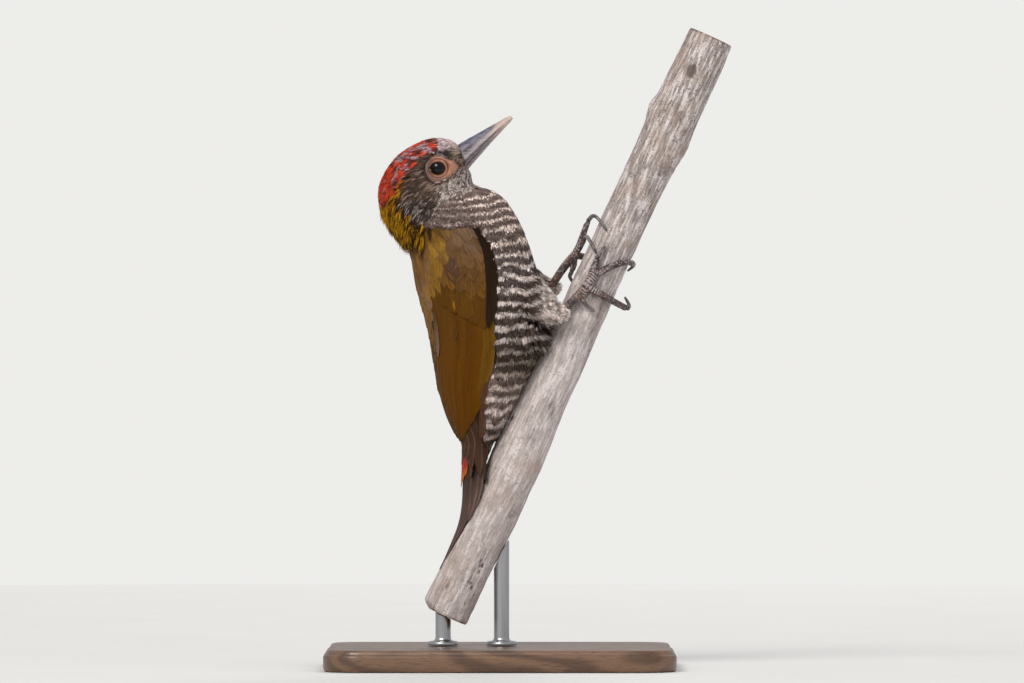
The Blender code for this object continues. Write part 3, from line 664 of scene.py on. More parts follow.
def pickRoots(area, spacing, least, extra=None):
    # even scatter over one plumage area: candidates at random, then the best one in each cell
    share = shareTable[:, areaNames.index(area)]
    corners = outerPoints[outerTriangles]
    size = np.linalg.norm(np.cross(corners[:, 1] - corners[:, 0], corners[:, 2] - corners[:, 0]), axis=1) / 2
    grows = share[outerTriangles].mean(1) > 0.02
    if extra is not None:
        grows &= extra[outerTriangles].any(1)
    size = np.where(grows, size, 0.0)
    count = int(size.sum() / mm**2 / spacing**2 * tuftShape["candidates"])
    chosen = chance.choice(len(size), count, p=size / size.sum())
    mix = chance.random((count, 2))
    flip = mix.sum(1) > 1
    mix[flip] = 1 - mix[flip]
    weights = np.stack([1 - mix.sum(1), mix[:, 0], mix[:, 1]], 1)
    index = outerTriangles[chosen]
    roots = {"point": np.einsum("nk,nkc->nc", weights, outerPoints[index]),
             "normal": unit(np.einsum("nk,nkc->nc", weights, outerNormals[index])),
             "shares": np.einsum("nk,nka->na", weights, shareTable[index]),
             "depth": np.einsum("nk,nk->n", weights, outerDepth[index])}
    roots = kept(roots, roots["shares"][:, areaNames.index(area)] + chance.normal(0, 0.12, count) > least)
    grid = roots["point"] / mm / spacing
    off = np.linalg.norm((grid % 1) - 0.5, axis=1)
    key = np.unique(np.floor(grid).astype(np.int64), axis=0, return_inverse=True)[1].ravel()
    order = np.lexsort((off, key))
    first = np.ones(len(order), bool)
    first[1:] = key[order][1:] != key[order][:-1]
    return kept(roots, order[first])


def thin(roots, spacing):
    # drops roots that stand closer than spacing to one that is kept
    points = roots["point"] / mm
    stays = np.ones(len(points), bool)
    steps = list(product((-1, 0, 1), repeat=3))
    cells = {}
    for index, point in enumerate(points):
        x, y, z = np.floor(point / spacing).astype(int)
        near = (other for dx, dy, dz in steps for other in cells.get((x + dx, y + dy, z + dz), ()))
        stays[index] = all(np.abs(other - point).sum() >= spacing for other in near)
        if stays[index]:
            cells.setdefault((x, y, z), []).append(point)
    return kept(roots, stays)


def traceTufts(roots, lengths, turn):
    # follows the lie of the coat over the surface in three steps
    count = len(roots["point"])
    points = np.zeros((count, 4, 3))
    normals = np.zeros((count, 4, 3))
    thigh = roots["shares"][:, areaNames.index("thigh")] > 0.5
    points[:, 0], normals[:, 0] = roots["point"], roots["normal"]
    way = lieOfCoat(roots["point"], roots["normal"], thigh)
    cross = np.cross(normals[:, 0], way)
    way = way * np.cos(turn)[:, None] + cross * np.sin(turn)[:, None]
    for step in (1, 2, 3):
        target = points[:, step - 1] + way * (lengths / 3 * mm)[:, None]
        for index in range(count):
            points[index, step], normals[index, step], _, _ = coatTree.find_nearest(Vector(target[index]))
        normals[:, step] = unit(normals[:, step] * 0.6 + normals[:, step - 1] * 0.4)
        way = unit(points[:, step] - points[:, step - 1])
        flow = lieOfCoat(points[:, step], normals[:, step], thigh)
        way = unit(way + 0.5 * flow)
    return points, normals


def alongPath(path, t):
    # smooth curve through four points per tuft; path is (tufts, 4, 3), t holds one place for each
    x = np.clip(t, 0, 1.25) * 3
    cell = np.clip(np.floor(x), 0, 2).astype(int)
    u = (x - cell)[:, None]
    rows = np.arange(len(path))
    p1, p2 = path[rows, cell], path[rows, cell + 1]
    p0 = np.where((cell > 0)[:, None], path[rows, np.maximum(cell - 1, 0)], 2 * p1 - p2)
    p3 = np.where((cell < 2)[:, None], path[rows, np.minimum(cell + 2, 3)], 2 * p2 - p1)
    square, cube = 2 * p0 - 5 * p1 + 4 * p2 - p3, 3 * p1 - p0 - 3 * p2 + p3
    return 0.5 * (2 * p1 + (p2 - p0) * u + square * u**2 + cube * u**3)


# Edges of the folded wing: heights, then angles round the body from the back.
wingEdges = {
    "front": ([72, 80, 92, 100, 110, 118, 124, 131, 137, 142],
              [92, 99, 99, 98, 101, 105, 110, 113.5, 116, 113]),
    "back": ([72, 80, 92, 105, 120, 131, 138], [14, 9, 9, 19, 30, 44, 60]),
    "margin": ([74, 80, 86, 92, 104, 112, 120, 130, 142], [22.0, 17.0, 13.0, 10.0, 6.0, 6.5, 6.0, 7.5, 9.0]),
    # heights and X, behind which the lowest feathers of the wing stay bare
    "bare": ([70, 73.3, 75.8, 79], [0.0, -0.7, -1.3, -2.4]),
    "top": 142.7,
}


def wingFront(height):
    return np.interp(height, *wingEdges["front"])


def wingBack(height):
    return np.interp(height, *wingEdges["back"])


def offWing(points, area):
    # flank feathers stay in front of the folded wing, and leave its lowest feathers bare
    if area not in ("bars", "neckSide", "cheek"):
        return np.ones(len(points), bool)
    height = points[:, 2]
    beside = angleOf(points) > wingFront(height) + np.interp(height, *wingEdges["margin"])
    beside &= (height > wingEdges["bare"][0][-1]) | (points[:, 0] > np.interp(height, *wingEdges["bare"]))
    return (height > wingEdges["top"]) | beside


def roomAboveWing(points, area):
    # feathers of the neck end in a fringe at the top of the wing
    room = np.full(len(points), 20.0)
    if area in ("bars", "neckSide", "cheek"):
        over = (angleOf(points) < wingFront(points[:, 2]) + 10) & (points[:, 2] > 140)
        wander = np.array([noise.noise(Vector(p * 0.5)) for p in points])
        room = np.where(over, np.maximum((points[:, 2] - 140.9 + 2.2 * wander) * 1.05, 1.5), room)
    return room


def growBlades(points, normals, tuft, blade, stations):
    # Closed blades of three-cornered section. blade holds one row per blade: start and end along the tuft,
    # place across it at both ends, width, root and tip lift, ridge; stations holds places along the blade,
    # each with its share of the width.
    count, ring = len(tuft), len(stations)
    corners = 3 * ring + 2
    verts = np.zeros((count, corners, 3))
    alongs = np.zeros((count, corners))
    acrosses = np.zeros((count, corners))
    path, normalPath = points[tuft], normals[tuft]

    def ringAt(slots, s, offsets, share):
        t = blade["start"] + (blade["end"] - blade["start"]) * s
        middle = alongPath(path, t)
        normal = unit(alongPath(normalPath, t))
        forward = unit(alongPath(path, t + 0.03) - alongPath(path, t - 0.03))
        sideways = unit(np.cross(forward, normal))
        across = blade["from"] + (blade["to"] - blade["from"]) * s**0.8
        rise = np.minimum(s / 0.45, 1.0)
        lift = blade["root"] * (1 - rise**0.8) + blade["tip"] * s**2 + blade["high"] * rise
        for slot, (offset, up) in zip(slots, offsets):
            reach = across + offset * blade["width"] * share
            height = lift + up * blade["ridge"] * share - reach**2 / (2 * tuftShape["curve"])
            verts[:, slot] = middle + sideways * (reach * mm)[:, None] + normal * (height * mm)[:, None]
            alongs[:, slot] = t
            acrosses[:, slot] = reach

    for number, (s, share) in enumerate(stations):
        first = 1 + 3 * number
        ringAt((first, first + 1, first + 2), s, ((-0.5, 0.0), (0.0, 1.0), (0.5, 0.0)), share)
    ringAt((0,), 0.0, ((0.0, 0.0),), 0.0)
    ringAt((corners - 1,), 1.0, ((0.0, 0.0),), 0.0)
    pattern = []
    for corner in range(3):
        after = (corner + 1) % 3
        pattern.append((0, 1 + after, 1 + corner))
        for first in range(1, 3 * ring - 2, 3):
            a, b = first + corner, first + after
            pattern += [(a, b, b + 3), (a, b + 3, a + 3)]
        pattern.append((3 * ring - 2 + corner, 3 * ring - 2 + after, corners - 1))
    faces = (np.array(pattern)[None] + (np.arange(count) * corners)[:, None, None]).reshape(-1, 3)
    return verts.reshape(-1, 3), faces, alongs.ravel(), acrosses.ravel(), np.repeat(tuft, corners)


def bodyUnwrap(points):
    around = np.arctan2(points[:, 1], middleAt(points[:, 2] / mm) * mm - points[:, 0]) / (2 * pi) + 0.5
    up = (points[:, 2] / mm - 60.0) / 105.0
    return np.stack([0.02 + 0.96 * around, 0.02 + 0.96 * np.clip(up, 0, 1)], 1)


billWay = unit(billTip - billRoot)


def headUnwrap(points):
    # round the bill's axis, and back from it
    near = points / mm - np.array([eyeCentre[0] - 4.0, 0.0, eyeCentre[2] - 3.0])
    ahead = near @ billWay
    upWay = np.array([-billWay[2], 0.0, billWay[0]])
    around = np.arctan2(near[:, 1], near @ upWay) / (2 * pi) + 0.5
    back = np.arccos(np.clip(ahead / np.linalg.norm(near, axis=1), -1, 1)) / pi
    return np.stack([0.02 + 0.96 * around, 0.98 - 0.96 * back], 1)


def limbUnwrap(points):
    side = points[:, 1] > 0
    near = points / mm - np.array([12.0, 0.0, 117.0])
    depth = np.abs(points[:, 1]) / mm - 9.5
    around = np.arctan2(near[:, 2], depth) / (2 * pi) + 0.5
    out = (near[:, 0] + 12.0) / 24.0
    return np.stack([0.02 + 0.46 * around + 0.5 * side, 0.02 + 0.96 * np.clip(out, 0, 1)], 1)


# What all tufts have in common: candidates for each root, unevenness, radius of the curve across, size of
# the patch in the unwrap, and the width along a strand and a vane.
tuftShape = {"candidates": 9.0, "lengthChange": 0.15, "ragged": 0.06, "curve": 12.0, "patch": 0.003,
             "strand": [(0.22, 0.8), (0.62, 1.0)],
             "vane": [(0.12, 0.45), (0.4, 0.9), (0.72, 1.0), (0.92, 0.62)]}


def layers(parts):
    # joins the arrays of several parts, and moves the corner numbers of the faces on
    sizes = np.cumsum([0] + [len(part[0]) for part in parts])
    parts = [(part[0], part[1] + size, *part[2:]) for part, size in zip(parts, sizes)]
    return [np.concatenate(column) for column in zip(*parts)]


def plantArea(name, area, style, material, slot, unwrap):
    # one coat piece: tufts of strands, each over a vane where the style has one
    roots = pickRoots(area, style["spacing"], style["least"], extra=style.get("where"))
    roots = thin(roots, style["spacing"] * 0.8)
    roots = kept(roots, (beyondLids(roots["point"] / mm) > -0.15) & offWing(roots["point"] / mm, area))
    point = roots["point"] / mm
    count = len(point)
    seed = chance.random(count)
    length = style["length"] * np.clip(1 + tuftShape["lengthChange"] * chance.normal(0, 1, count), 0.4, 1.5)
    if "grade" in style:
        length = length * style["grade"](point)
    # tufts that lie towards the eye end at the edge of the bare skin
    way = lieOfCoat(roots["point"], roots["normal"], roots["shares"][:, areaNames.index("thigh")] > 0.5)
    towards = way[:, 0] * (eyeCentre[0] - point[:, 0]) + way[:, 2] * (eyeCentre[2] - point[:, 2]) > 0
    room = np.maximum(beyondLids(point) + 0.3, 0.5)
    length = np.where(towards, np.minimum(length, room), length)
    length = np.minimum(length, roomAboveWing(point, area))
    turn = radians(style.get("turn", 8.0)) * chance.normal(0, 1, count)
    points, normals = traceTufts(roots, length, turn)
    stand = style["stand"]
    stand = stand(point) if callable(stand) else np.full(count, stand)
    sink = -roots["depth"]
    parts = []
    size = style["width"] * (1 + 0.1 * chance.normal(0, 1, count))
    if style.get("vane"):
        none = np.zeros(count)
        blade = {"start": none, "end": none + 1, "from": none, "to": none, "width": size, "root": sink,
                 "tip": stand, "high": none - 0.12, "ridge": none + 0.12}
        vane = growBlades(points, normals, np.arange(count), blade, tuftShape["vane"])
        parts.append((*vane, np.repeat(seed, len(vane[0]) // count)))
    strands = style["strands"]
    ids = np.repeat(np.arange(count), strands)
    total = len(ids)
    evenly = np.tile((np.arange(strands) + 0.5) / strands, count)
    spot = (evenly - 0.5) * 2 + chance.normal(0, 0.35 / strands, total)
    rounded = 1 - style.get("round", 0.25) * np.abs(spot) ** 2.2
    start = style.get("strandStart", 0.0) * (1 - 0.3 * chance.random(total))
    end = rounded * (1 + tuftShape["ragged"] * chance.normal(0, 1, total))
    half = size[ids] / 2
    blade = {"start": start, "end": end, "from": spot * half * 0.5, "to": spot * half,
             "width": style["strandWidth"] * (1 + 0.2 * chance.normal(0, 1, total)), "root": sink[ids],
             "tip": stand[ids] * (1 + 0.35 * chance.normal(0, 1, total)),
             "high": 0.02 + 0.05 * chance.normal(0, 1, total),
             "ridge": np.full(total, style["strandWidth"] * 0.35)}
    strand = growBlades(points, normals, ids, blade, tuftShape["strand"])
    parts.append((*strand, np.repeat(chance.random(total), len(strand[0]) // total)))
    verts, faces, alongs, acrosses, tufts, seeds = layers(parts)
    piece = newMesh(name, verts, [faces], material)
    acrossShare = acrosses / (size[tufts] / 2)
    addField(piece, "feather", np.stack([alongs, acrossShare, seeds], 1))
    tints = tintsFor(roots["shares"])
    if "tints" in style:
        tints = style["tints"](roots, tints)
    for index, label in enumerate(("rootTint", "bodyTint", "tipTint")):
        addField(piece, label, tints[tufts, index])
    if "bars" in style:
        strength, wide, tint = style["bars"](roots)
        phase = barPhase(verts / mm) + barring["jitter"] * chance.normal(0, 1, count)[tufts]
        phase += barring["strandJitter"] * 4 * (seeds - 0.5) + style.get("scallop", 0.1) * acrossShare**2
        addField(piece, "bars", np.stack([phase, wide[tufts], strength[tufts]], 1))
        addField(piece, "barTint", tint[tufts])
    else:
        addField(piece, "bars", np.zeros((len(verts), 3)))
        addField(piece, "barTint", np.tile(np.array(paleBar), (len(verts), 1)))
    spread = np.stack([np.clip(alongs, 0, 1) - 0.5, np.clip(acrossShare, -1, 1) / 2], 1)
    addUnwrap(piece, unwrap(roots["point"])[tufts] + tuftShape["patch"] * spread)
    finishPiece(piece, slot)
    print(name + ":", count, "tufts,", len(faces), "triangles")


# Ground and pale bars by height, and the share of each bar that is pale.
barLevels = [76, 88, 96, 102, 111, 118, 132, 141, 147]
barGround = [(0.05, 0.035, 0.027), (0.24, 0.178, 0.156), (0.16, 0.116, 0.098), (0.06, 0.041, 0.03),
             (0.068, 0.048, 0.039), (0.085, 0.062, 0.05), (0.115, 0.088, 0.082), (0.135, 0.096, 0.083),
             (0.185, 0.132, 0.116)]
barPale = [(0.38, 0.3, 0.26), (0.76, 0.63, 0.59), (0.54, 0.44, 0.39), (0.235, 0.183, 0.155),
           (0.44, 0.37, 0.34), (0.68, 0.58, 0.54), (0.74, 0.64, 0.59), (0.84, 0.69, 0.61), (0.95, 0.78, 0.69)]
barWidth = [0.4, 0.42, 0.38, 0.36, 0.38, 0.38, 0.34, 0.3, 0.27]


def colourAt(height, heights, tints):
    return np.stack([np.interp(height, heights, part) for part in zip(*tints)], -1)


def barRule(roots):
    # strength, width and tint of the pale bars: thin on the breast, dull on the flank, faint on the neck
    point = roots["point"] / mm
    count = len(point)
    beside = ease(point[:, 2], 140.0, 144.0) * (1 - ease(angleOf(point), 112.0, 142.0))
    strength = np.clip(0.92 - 0.46 * beside + 0.1 * chance.normal(0, 1, count), 0, 1)
    width = np.interp(point[:, 2], barLevels, barWidth) - 0.05 * beside
    width = width + 0.05 * chance.normal(0, 1, count)
    tint = colourAt(point[:, 2], barLevels, barPale) * (1 - 0.38 * beside)[:, None]
    return strength, width, tint * (1 + 0.14 * chance.normal(0, 1, (count, 1)))


def barredTints(roots, _):
    # ground between the bars
    height = roots["point"][:, 2] / mm
    ground = colourAt(height, barLevels, barGround) * (1 + 0.1 * chance.normal(0, 1, (len(height), 1)))
    ground = ground * (0.35 + 0.65 * ease(height, 71.0, 77.0))[:, None]
    return np.stack([ground * 0.8, ground, ground], 1)


upperBreast = outerPoints[:, 2] / mm > 134


def clumpOf(point, scale):
    return np.array([noise.noise(Vector(p * scale)) for p in point])


def crownTints(roots, tints):
    # clumps of bright red, dark red, grey and near black; mostly red towards the nape
    point = roots["point"] / mm
    back = ease(eyeCentre[0] - point[:, 0], 6.0, 15.0)
    pick = clumpOf(point, 0.42) + 0.16 * back + chance.normal(0, 0.13, len(point))
    tips = np.array([(0.13, 0.045, 0.045), (0.84, 0.62, 0.66), (0.4, 0.04, 0.022), (0.98, 0.095, 0.04)])
    middles = np.array([(0.09, 0.032, 0.034), (0.46, 0.32, 0.35), (0.22, 0.026, 0.016), (0.6, 0.062, 0.026)])
    order = np.digitize(pick, [-0.25, -0.15, 0.02])
    grey = (clumpOf(point + 20.0, 0.36) > 0.2 + 0.55 * back) & (chance.random(len(point)) < 0.7)
    order = np.where(grey, 1, order)
    crown = (roots["shares"][:, areaNames.index("crown")] > 0.4)[:, None]
    shade = 1 + 0.18 * chance.normal(0, 1, (len(point), 1))
    tints[:, 2] = np.where(crown, tips[order] * shade, tints[:, 2])
    tints[:, 1] = np.where(crown, middles[order] * shade, tints[:, 1])
    return np.clip(tints, 0.004, 1)


def napeTints(roots, tints):
    # gold tips over near black, red where the crown ends
    point = roots["point"] / mm
    count = len(point)
    low = 1 - ease(point[:, 2], 132.0, 150.0)
    beside = ease(angleOf(point), 38.0, 60.0) * (1 - ease(point[:, 2], 146.0, 151.0))
    bright = chance.random(count) < 0.64 - 0.26 * low - 0.24 * beside
    gold = np.where(bright[:, None], np.array((1.0, 0.5, 0.006)), np.array((0.055, 0.024, 0.005)))
    gold = gold * (1 - 0.45 * low[:, None])
    red = ease(point[:, 2], 149.0, 153.5) * (chance.random(count) < 0.55)
    gold = gold * (1 - red)[:, None] + np.array((0.85, 0.12, 0.02)) * red[:, None]
    tints[:, 2] = gold * (1 + 0.2 * chance.normal(0, 1, (count, 1)))
    tints[:, 1] = np.where(bright[:, None], np.array((0.46, 0.215, 0.006)), np.array((0.045, 0.022, 0.005)))
    return np.clip(tints, 0.004, 1)


# Dark patch between eye and bill: place from the eye's centre and reach along X and Z, and strength.
lore = {"ahead": (4.4, 3.2), "above": (4.3, 1.35), "strength": 1.2, "bristle": (8.9, 1.5),
        "bristleTint": (0.46, 0.36, 0.27)}


def streakTints(pale, dark, share, tuftScale):
    # clumps of tufts tipped pale, the others dark
    pale, dark = np.array(pale), np.array(dark)

    def paint(roots, tints):
        count = len(tints)
        point = roots["point"] / mm
        light = (clumpOf(point, tuftScale) * 0.8 + chance.random(count) < share)[:, None]
        tints[:, 2] = np.where(light, pale, dark) * (1 + 0.18 * chance.normal(0, 1, (count, 1)))
        tints[:, 1] = np.where(light, tints[:, 1] * 0.5 + pale * 0.4, dark * 0.9)
        near = point - np.array([eyeCentre[0], 0, eyeCentre[2]])
        spot = hump(near[:, 0], *lore["ahead"]) * hump(near[:, 2], *lore["above"])
        tints = tints * (1 - np.clip(spot * lore["strength"], 0, 0.93))[:, None, None]
        base = near[:, 0] * billForward[0] + near[:, 2] * billForward[2]
        across = near[:, 0] * billUp[0] + near[:, 2] * billUp[2]
        bristle = 0.85 * hump(base, *lore["bristle"]) * hump(across, -1.0, 4.2)
        bristle = (bristle * (chance.random(count) < 0.8))[:, None, None]
        tints = tints * (1 - bristle) + np.array(lore["bristleTint"]) * bristle
        return np.clip(tints, 0.004, 1)
    return paint


def thighBars(roots):
    strength, wide, tint = barRule(roots)
    return strength * (1 - ease(roots["point"][:, 0] / mm, 9.8, 13.2)), wide, tint


def thighTints(roots, tints):
    # barred like the flank near the body, pale and dark fluff towards the ankle
    point = roots["point"] / mm
    near = (1 - ease(point[:, 0], 9.8, 13.2))[:, None, None]
    dark = (clumpOf(point, 0.6) + 0.16 * chance.normal(0, 1, len(point)) > 0.14)[:, None, None]
    fluff = tints * np.where(dark, 0.42, 1.0)
    return fluff * (1 - near) + np.array(plumage["bars"])[None] * near


def thighStand(point):
    return 0.3 + 0.45 * ease(point[:, 0], 11.0, 17.0) * (0.6 + 0.8 * chance.random(len(point)))


# Colour of the back and of the shoulder at some heights.
coatTones = {
    "gold": (0.235, 0.122, 0.012),
    "heights": [90, 100, 110, 118, 126, 134, 141, 146],
    "back": [(0.08, 0.038, 0.006), (0.12, 0.056, 0.01), (0.158, 0.073, 0.016), (0.165, 0.078, 0.019),
             (0.136, 0.063, 0.015), (0.118, 0.054, 0.012), (0.098, 0.047, 0.01), (0.08, 0.04, 0.008)],
    "shoulder": [(0.09, 0.036, 0.003), (0.09, 0.036, 0.003), (0.09, 0.036, 0.004), (0.091, 0.039, 0.006),
                 (0.1, 0.047, 0.014), (0.11, 0.058, 0.026), (0.12, 0.073, 0.043), (0.11, 0.073, 0.048)],
}


def toneAt(height, angle):
    # from the colours of the back to those of the shoulder across the wing's inner edge
    back = colourAt(height, coatTones["heights"], coatTones["back"])
    shoulder = colourAt(height, coatTones["heights"], coatTones["shoulder"])
    share = np.asarray(ease(angle, wingBack(height) + 2.0, wingBack(height) + 22.0))[..., None]
    band = hump(angle, wingBack(height) + 12.0, 9.0) * ease(height, 110.0, 118.0)
    band = band * (1 - ease(height, 134.0, 141.0))
    gold = np.maximum(band, 0.8 * ease(height, 139.0, 144.0) * (1 - ease(angle, 50.0, 64.0)))
    gold = np.asarray(0.68 * gold)[..., None]
    return (back * (1 - share) + shoulder * share) * (1 - gold) + np.array(coatTones["gold"]) * gold


def bellyStand(point):
    # loose feathers fill the fold between thigh, belly and branch
    return 0.14 + 4.4 * hump(point[:, 2], 111.0, 5.0) * ease(angleOf(point), 128.0, 150.0)


def napeStand(point):
    # ragged where the nape feathers end
    return 0.32 + 0.95 * chance.random(len(point)) ** 2


napeRoots = (outerPoints[:, 2] / mm > 142.3) | (angleOf(outerPoints / mm) < 48.0)
barred = dict(strandStart=0.25, bars=barRule, tints=barredTints, least=0.35, round=0.2, turn=9.0)

# Tufts and small feathers: spacing, length and width, strands to a tuft, how far they stand out at the tip.
coats = {
    "forehead_tufts": ("forehead", dict(
        spacing=0.5, length=2.0, width=0.6, strands=4, strandWidth=0.2, stand=0.14, least=0.3,
        tints=streakTints((1.0, 0.8, 0.83), (0.46, 0.32, 0.33), 0.72, 0.9))),
    "crown_tufts": ("crown", dict(
        spacing=0.66, length=3.8, width=0.8, strands=5, strandWidth=0.27, stand=0.34, least=0.4,
        tints=crownTints)),
    "cheek_tufts": ("cheek", dict(
        spacing=0.66, length=4.6, width=0.6, strands=4, strandWidth=0.2, stand=0.2, least=0.3,
        tints=streakTints((0.46, 0.33, 0.26), (0.105, 0.066, 0.05), 0.32, 0.35))),
    "throat_tufts": ("throat", dict(
        spacing=0.62, length=2.7, width=0.7, strands=4, strandWidth=0.21, stand=0.24, turn=18.0, least=0.3,
        tints=streakTints((0.85, 0.74, 0.68), (0.29, 0.22, 0.2), 0.62, 0.8))),
    "nape_tufts": ("nape", dict(
        spacing=0.8, length=6.0, width=1.0, strands=5, strandWidth=0.27, stand=napeStand, least=0.35,
        turn=13.0, tints=napeTints, where=napeRoots)),
    "neck_tufts": ("neckSide", dict(
        spacing=0.85, length=5.4, width=1.0, strands=5, strandWidth=0.25, stand=0.45, turn=14.0, least=0.3,
        tints=streakTints((0.68, 0.56, 0.52), (0.062, 0.045, 0.041), 0.27, 0.75))),
    "breast_feathers": ("bars", dict(
        spacing=1.6, length=5.6, width=3.4, strands=12, strandWidth=0.3, vane=True, scallop=0.36, stand=0.16,
        where=upperBreast, **barred)),
    "belly_feathers": ("bars", dict(
        spacing=1.9, length=7.0, width=3.8, strands=12, strandWidth=0.33, vane=True, stand=bellyStand,
        where=~upperBreast, **barred)),
    "thigh_tufts": ("thigh", dict(
        spacing=0.9, length=3.9, width=1.7, strands=7, strandWidth=0.22, stand=thighStand, least=0.35,
        turn=27.0, tints=thighTints, bars=thighBars,
        grade=lambda point: 1 - 0.6 * ease(point[:, 0], 11.0, 18.0))),
}
# slot and unwrap of the tufts in each area
coatKinds = {"nape": ("nape_plumage", bodyUnwrap), "neckSide": ("nape_plumage", bodyUnwrap),
             "bars": ("barred_plumage", bodyUnwrap), "thigh": ("barred_plumage", limbUnwrap)}
downy = featherMaterial("downy feathers", barb=0.35, tone=0.4, depth=0.05, gloss=0.12)
for name, (area, style) in coats.items():
    plantArea(name, area, style, downy, *coatKinds.get(area, ("crown_plumage", headUnwrap)))


# Wings and tail are long vanes, laid in order over the outer surface.
def plate(points, normals, thickness):
    # closed thin sheet from a grid of points: (rows, columns, 3)
    rows, columns = points.shape[:2]
    under = points - normals * thickness * mm
    verts = np.concatenate([points.reshape(-1, 3), under.reshape(-1, 3)])
    cells = np.arange(rows * columns).reshape(rows, columns)
    top = np.stack([cells[:-1, :-1], cells[:-1, 1:], cells[1:, 1:], cells[1:, :-1]], -1).reshape(-1, 4)
    low = top[:, ::-1] + rows * columns
    edge = np.concatenate([cells[0, :], cells[1:, -1], cells[-1, -2::-1], cells[-2:0:-1, 0]])
    after = np.roll(edge, -1)
    walls = np.stack([edge, edge + rows * columns, after + rows * columns, after], -1)
    return verts, np.concatenate([top, low, walls])


def vaneWidth(t, point, power):
    # share of the full width along a feather: narrow at the root, full, then rounded off to its tip
    root = 0.55
    grow = root + (1 - root) * ease(t, 0.0, 0.25)
    tail = np.clip((t - point) / (1 - point), 0, 1)
    return grow * (1 - tail**power) ** 0.6


def longVane(lay, root, tip, width, side, lift, seed, rows=26, columns=9, bow=1.0, camber=0.12,
             thickness=0.14, point=0.72, power=2.2):
    # lay(height, angle, side, lift) gives a point on the body; root and tip are (height, angle)
    points = np.zeros((rows, columns, 3))
    normals = np.zeros((rows, columns, 3))
    alongs = np.linspace(0, 1, rows) ** 0.85
    acrosses = np.linspace(-1, 1, columns)
    for i, t in enumerate(alongs):
        height = root[0] + (tip[0] - root[0]) * t
        angle = root[1] + (tip[1] - root[1]) * t**bow
        middle, _ = lay(height, angle, side, 0.0)
        reach = max(hypot(middle.x / mm - lay.middle(height), middle.y / mm), 3.0)
        half = width / 2 * max(float(vaneWidth(t, point, power)), 0.03)
        for j, c in enumerate(acrosses):
            turn = np.degrees(c * half / reach)
            up = lift[0] + (lift[1] - lift[0]) * t - camber * c * c - 0.05 * abs(c) ** 0.5
            points[i, j], normals[i, j] = lay(height, angle + turn, side, up)
    verts, faces = plate(smoothGrid(points, 2), unit(smoothGrid(normals, 2)), thickness)
    fields = np.zeros((rows, columns, 3))
    fields[..., 0] = alongs[:, None]
    fields[..., 1] = acrosses[None]
    fields[..., 2] = seed
    fields = np.concatenate([fields.reshape(-1, 3)] * 2)
    if side > 0:
        faces = faces[:, ::-1]
    return verts, faces, fields


def smoothGrid(grid, rounds):
    grid = grid.copy()
    for _ in range(rounds):
        middle = grid.copy()
        middle[1:-1] = grid[1:-1] * 0.5 + (grid[:-2] + grid[2:]) * 0.25
        grid = middle.copy()
        grid[:, 1:-1] = middle[:, 1:-1] * 0.5 + (middle[:, :-2] + middle[:, 2:]) * 0.25
    return grid


def joinVanes(name, vanes, material, slot, *replaced):
    # vanes: (verts, faces, fields, (root, body, tip, edge) tints)
    parts, taken = [], []
    for verts, faces, fields, tints in vanes:
        # each vane has its own patch near its root, moved on where a neighbour's patch lies
        home = bodyUnwrap(verts[:9].mean(0)[None])[0]
        while any(abs(home[0] - other[0]) < 0.009 and abs(home[1] - other[1]) < 0.013 for other in taken):
            home = home + np.array([0.0095, 0.0])
        taken.append(home)
        places = home + np.stack([fields[:, 1] * 0.004, -0.012 * fields[:, 0]], 1)
        parts.append((verts, faces, fields, np.tile(np.array(tints)[None], (len(verts), 1, 1)), places))
    verts, faces, fields, tints, places = layers(parts)
    piece = newMesh(name, verts, [faces], material)
    addField(piece, "feather", fields)
    for index, label in enumerate(("rootTint", "bodyTint", "tipTint", "barTint")):
        addField(piece, label, tints[:, index])
    addField(piece, "bars", np.zeros((len(tints), 3)))
    addUnwrap(piece, np.clip(places, 0.001, 0.999))
    finishPiece(piece, slot, *replaced)
    piece.data.set_sharp_from_angle(angle=1.0)
    print(name + ":", len(vanes), "vanes,", len(tints), "points")


def makeLay(tree, middle, most=180.0, level=False):
    def lay(height, angle, side, lift):
        turn = radians(min(angle, most))
        way = Vector((-cos(turn), side * sin(turn), 0.0))
        centre = Vector((middle(height) * mm, 0.0, height * mm))
        hit, normal, _, _ = tree.ray_cast(centre + way * 0.06, -way)
        if hit is None:
            hit, normal, _, _ = tree.find_nearest(centre + way * 0.008)
        if normal.dot(way) < 0:
            normal = -normal
        return hit + (way if level else normal) * lift * mm, normal
    lay.middle = middle
    return lay


layWing = makeLay(outerTree, middleAt)
layRump = makeLay(coatTree, lambda height: float(np.interp(height, [59, 73, 80], [-4.6, -5.0, -7.0])))

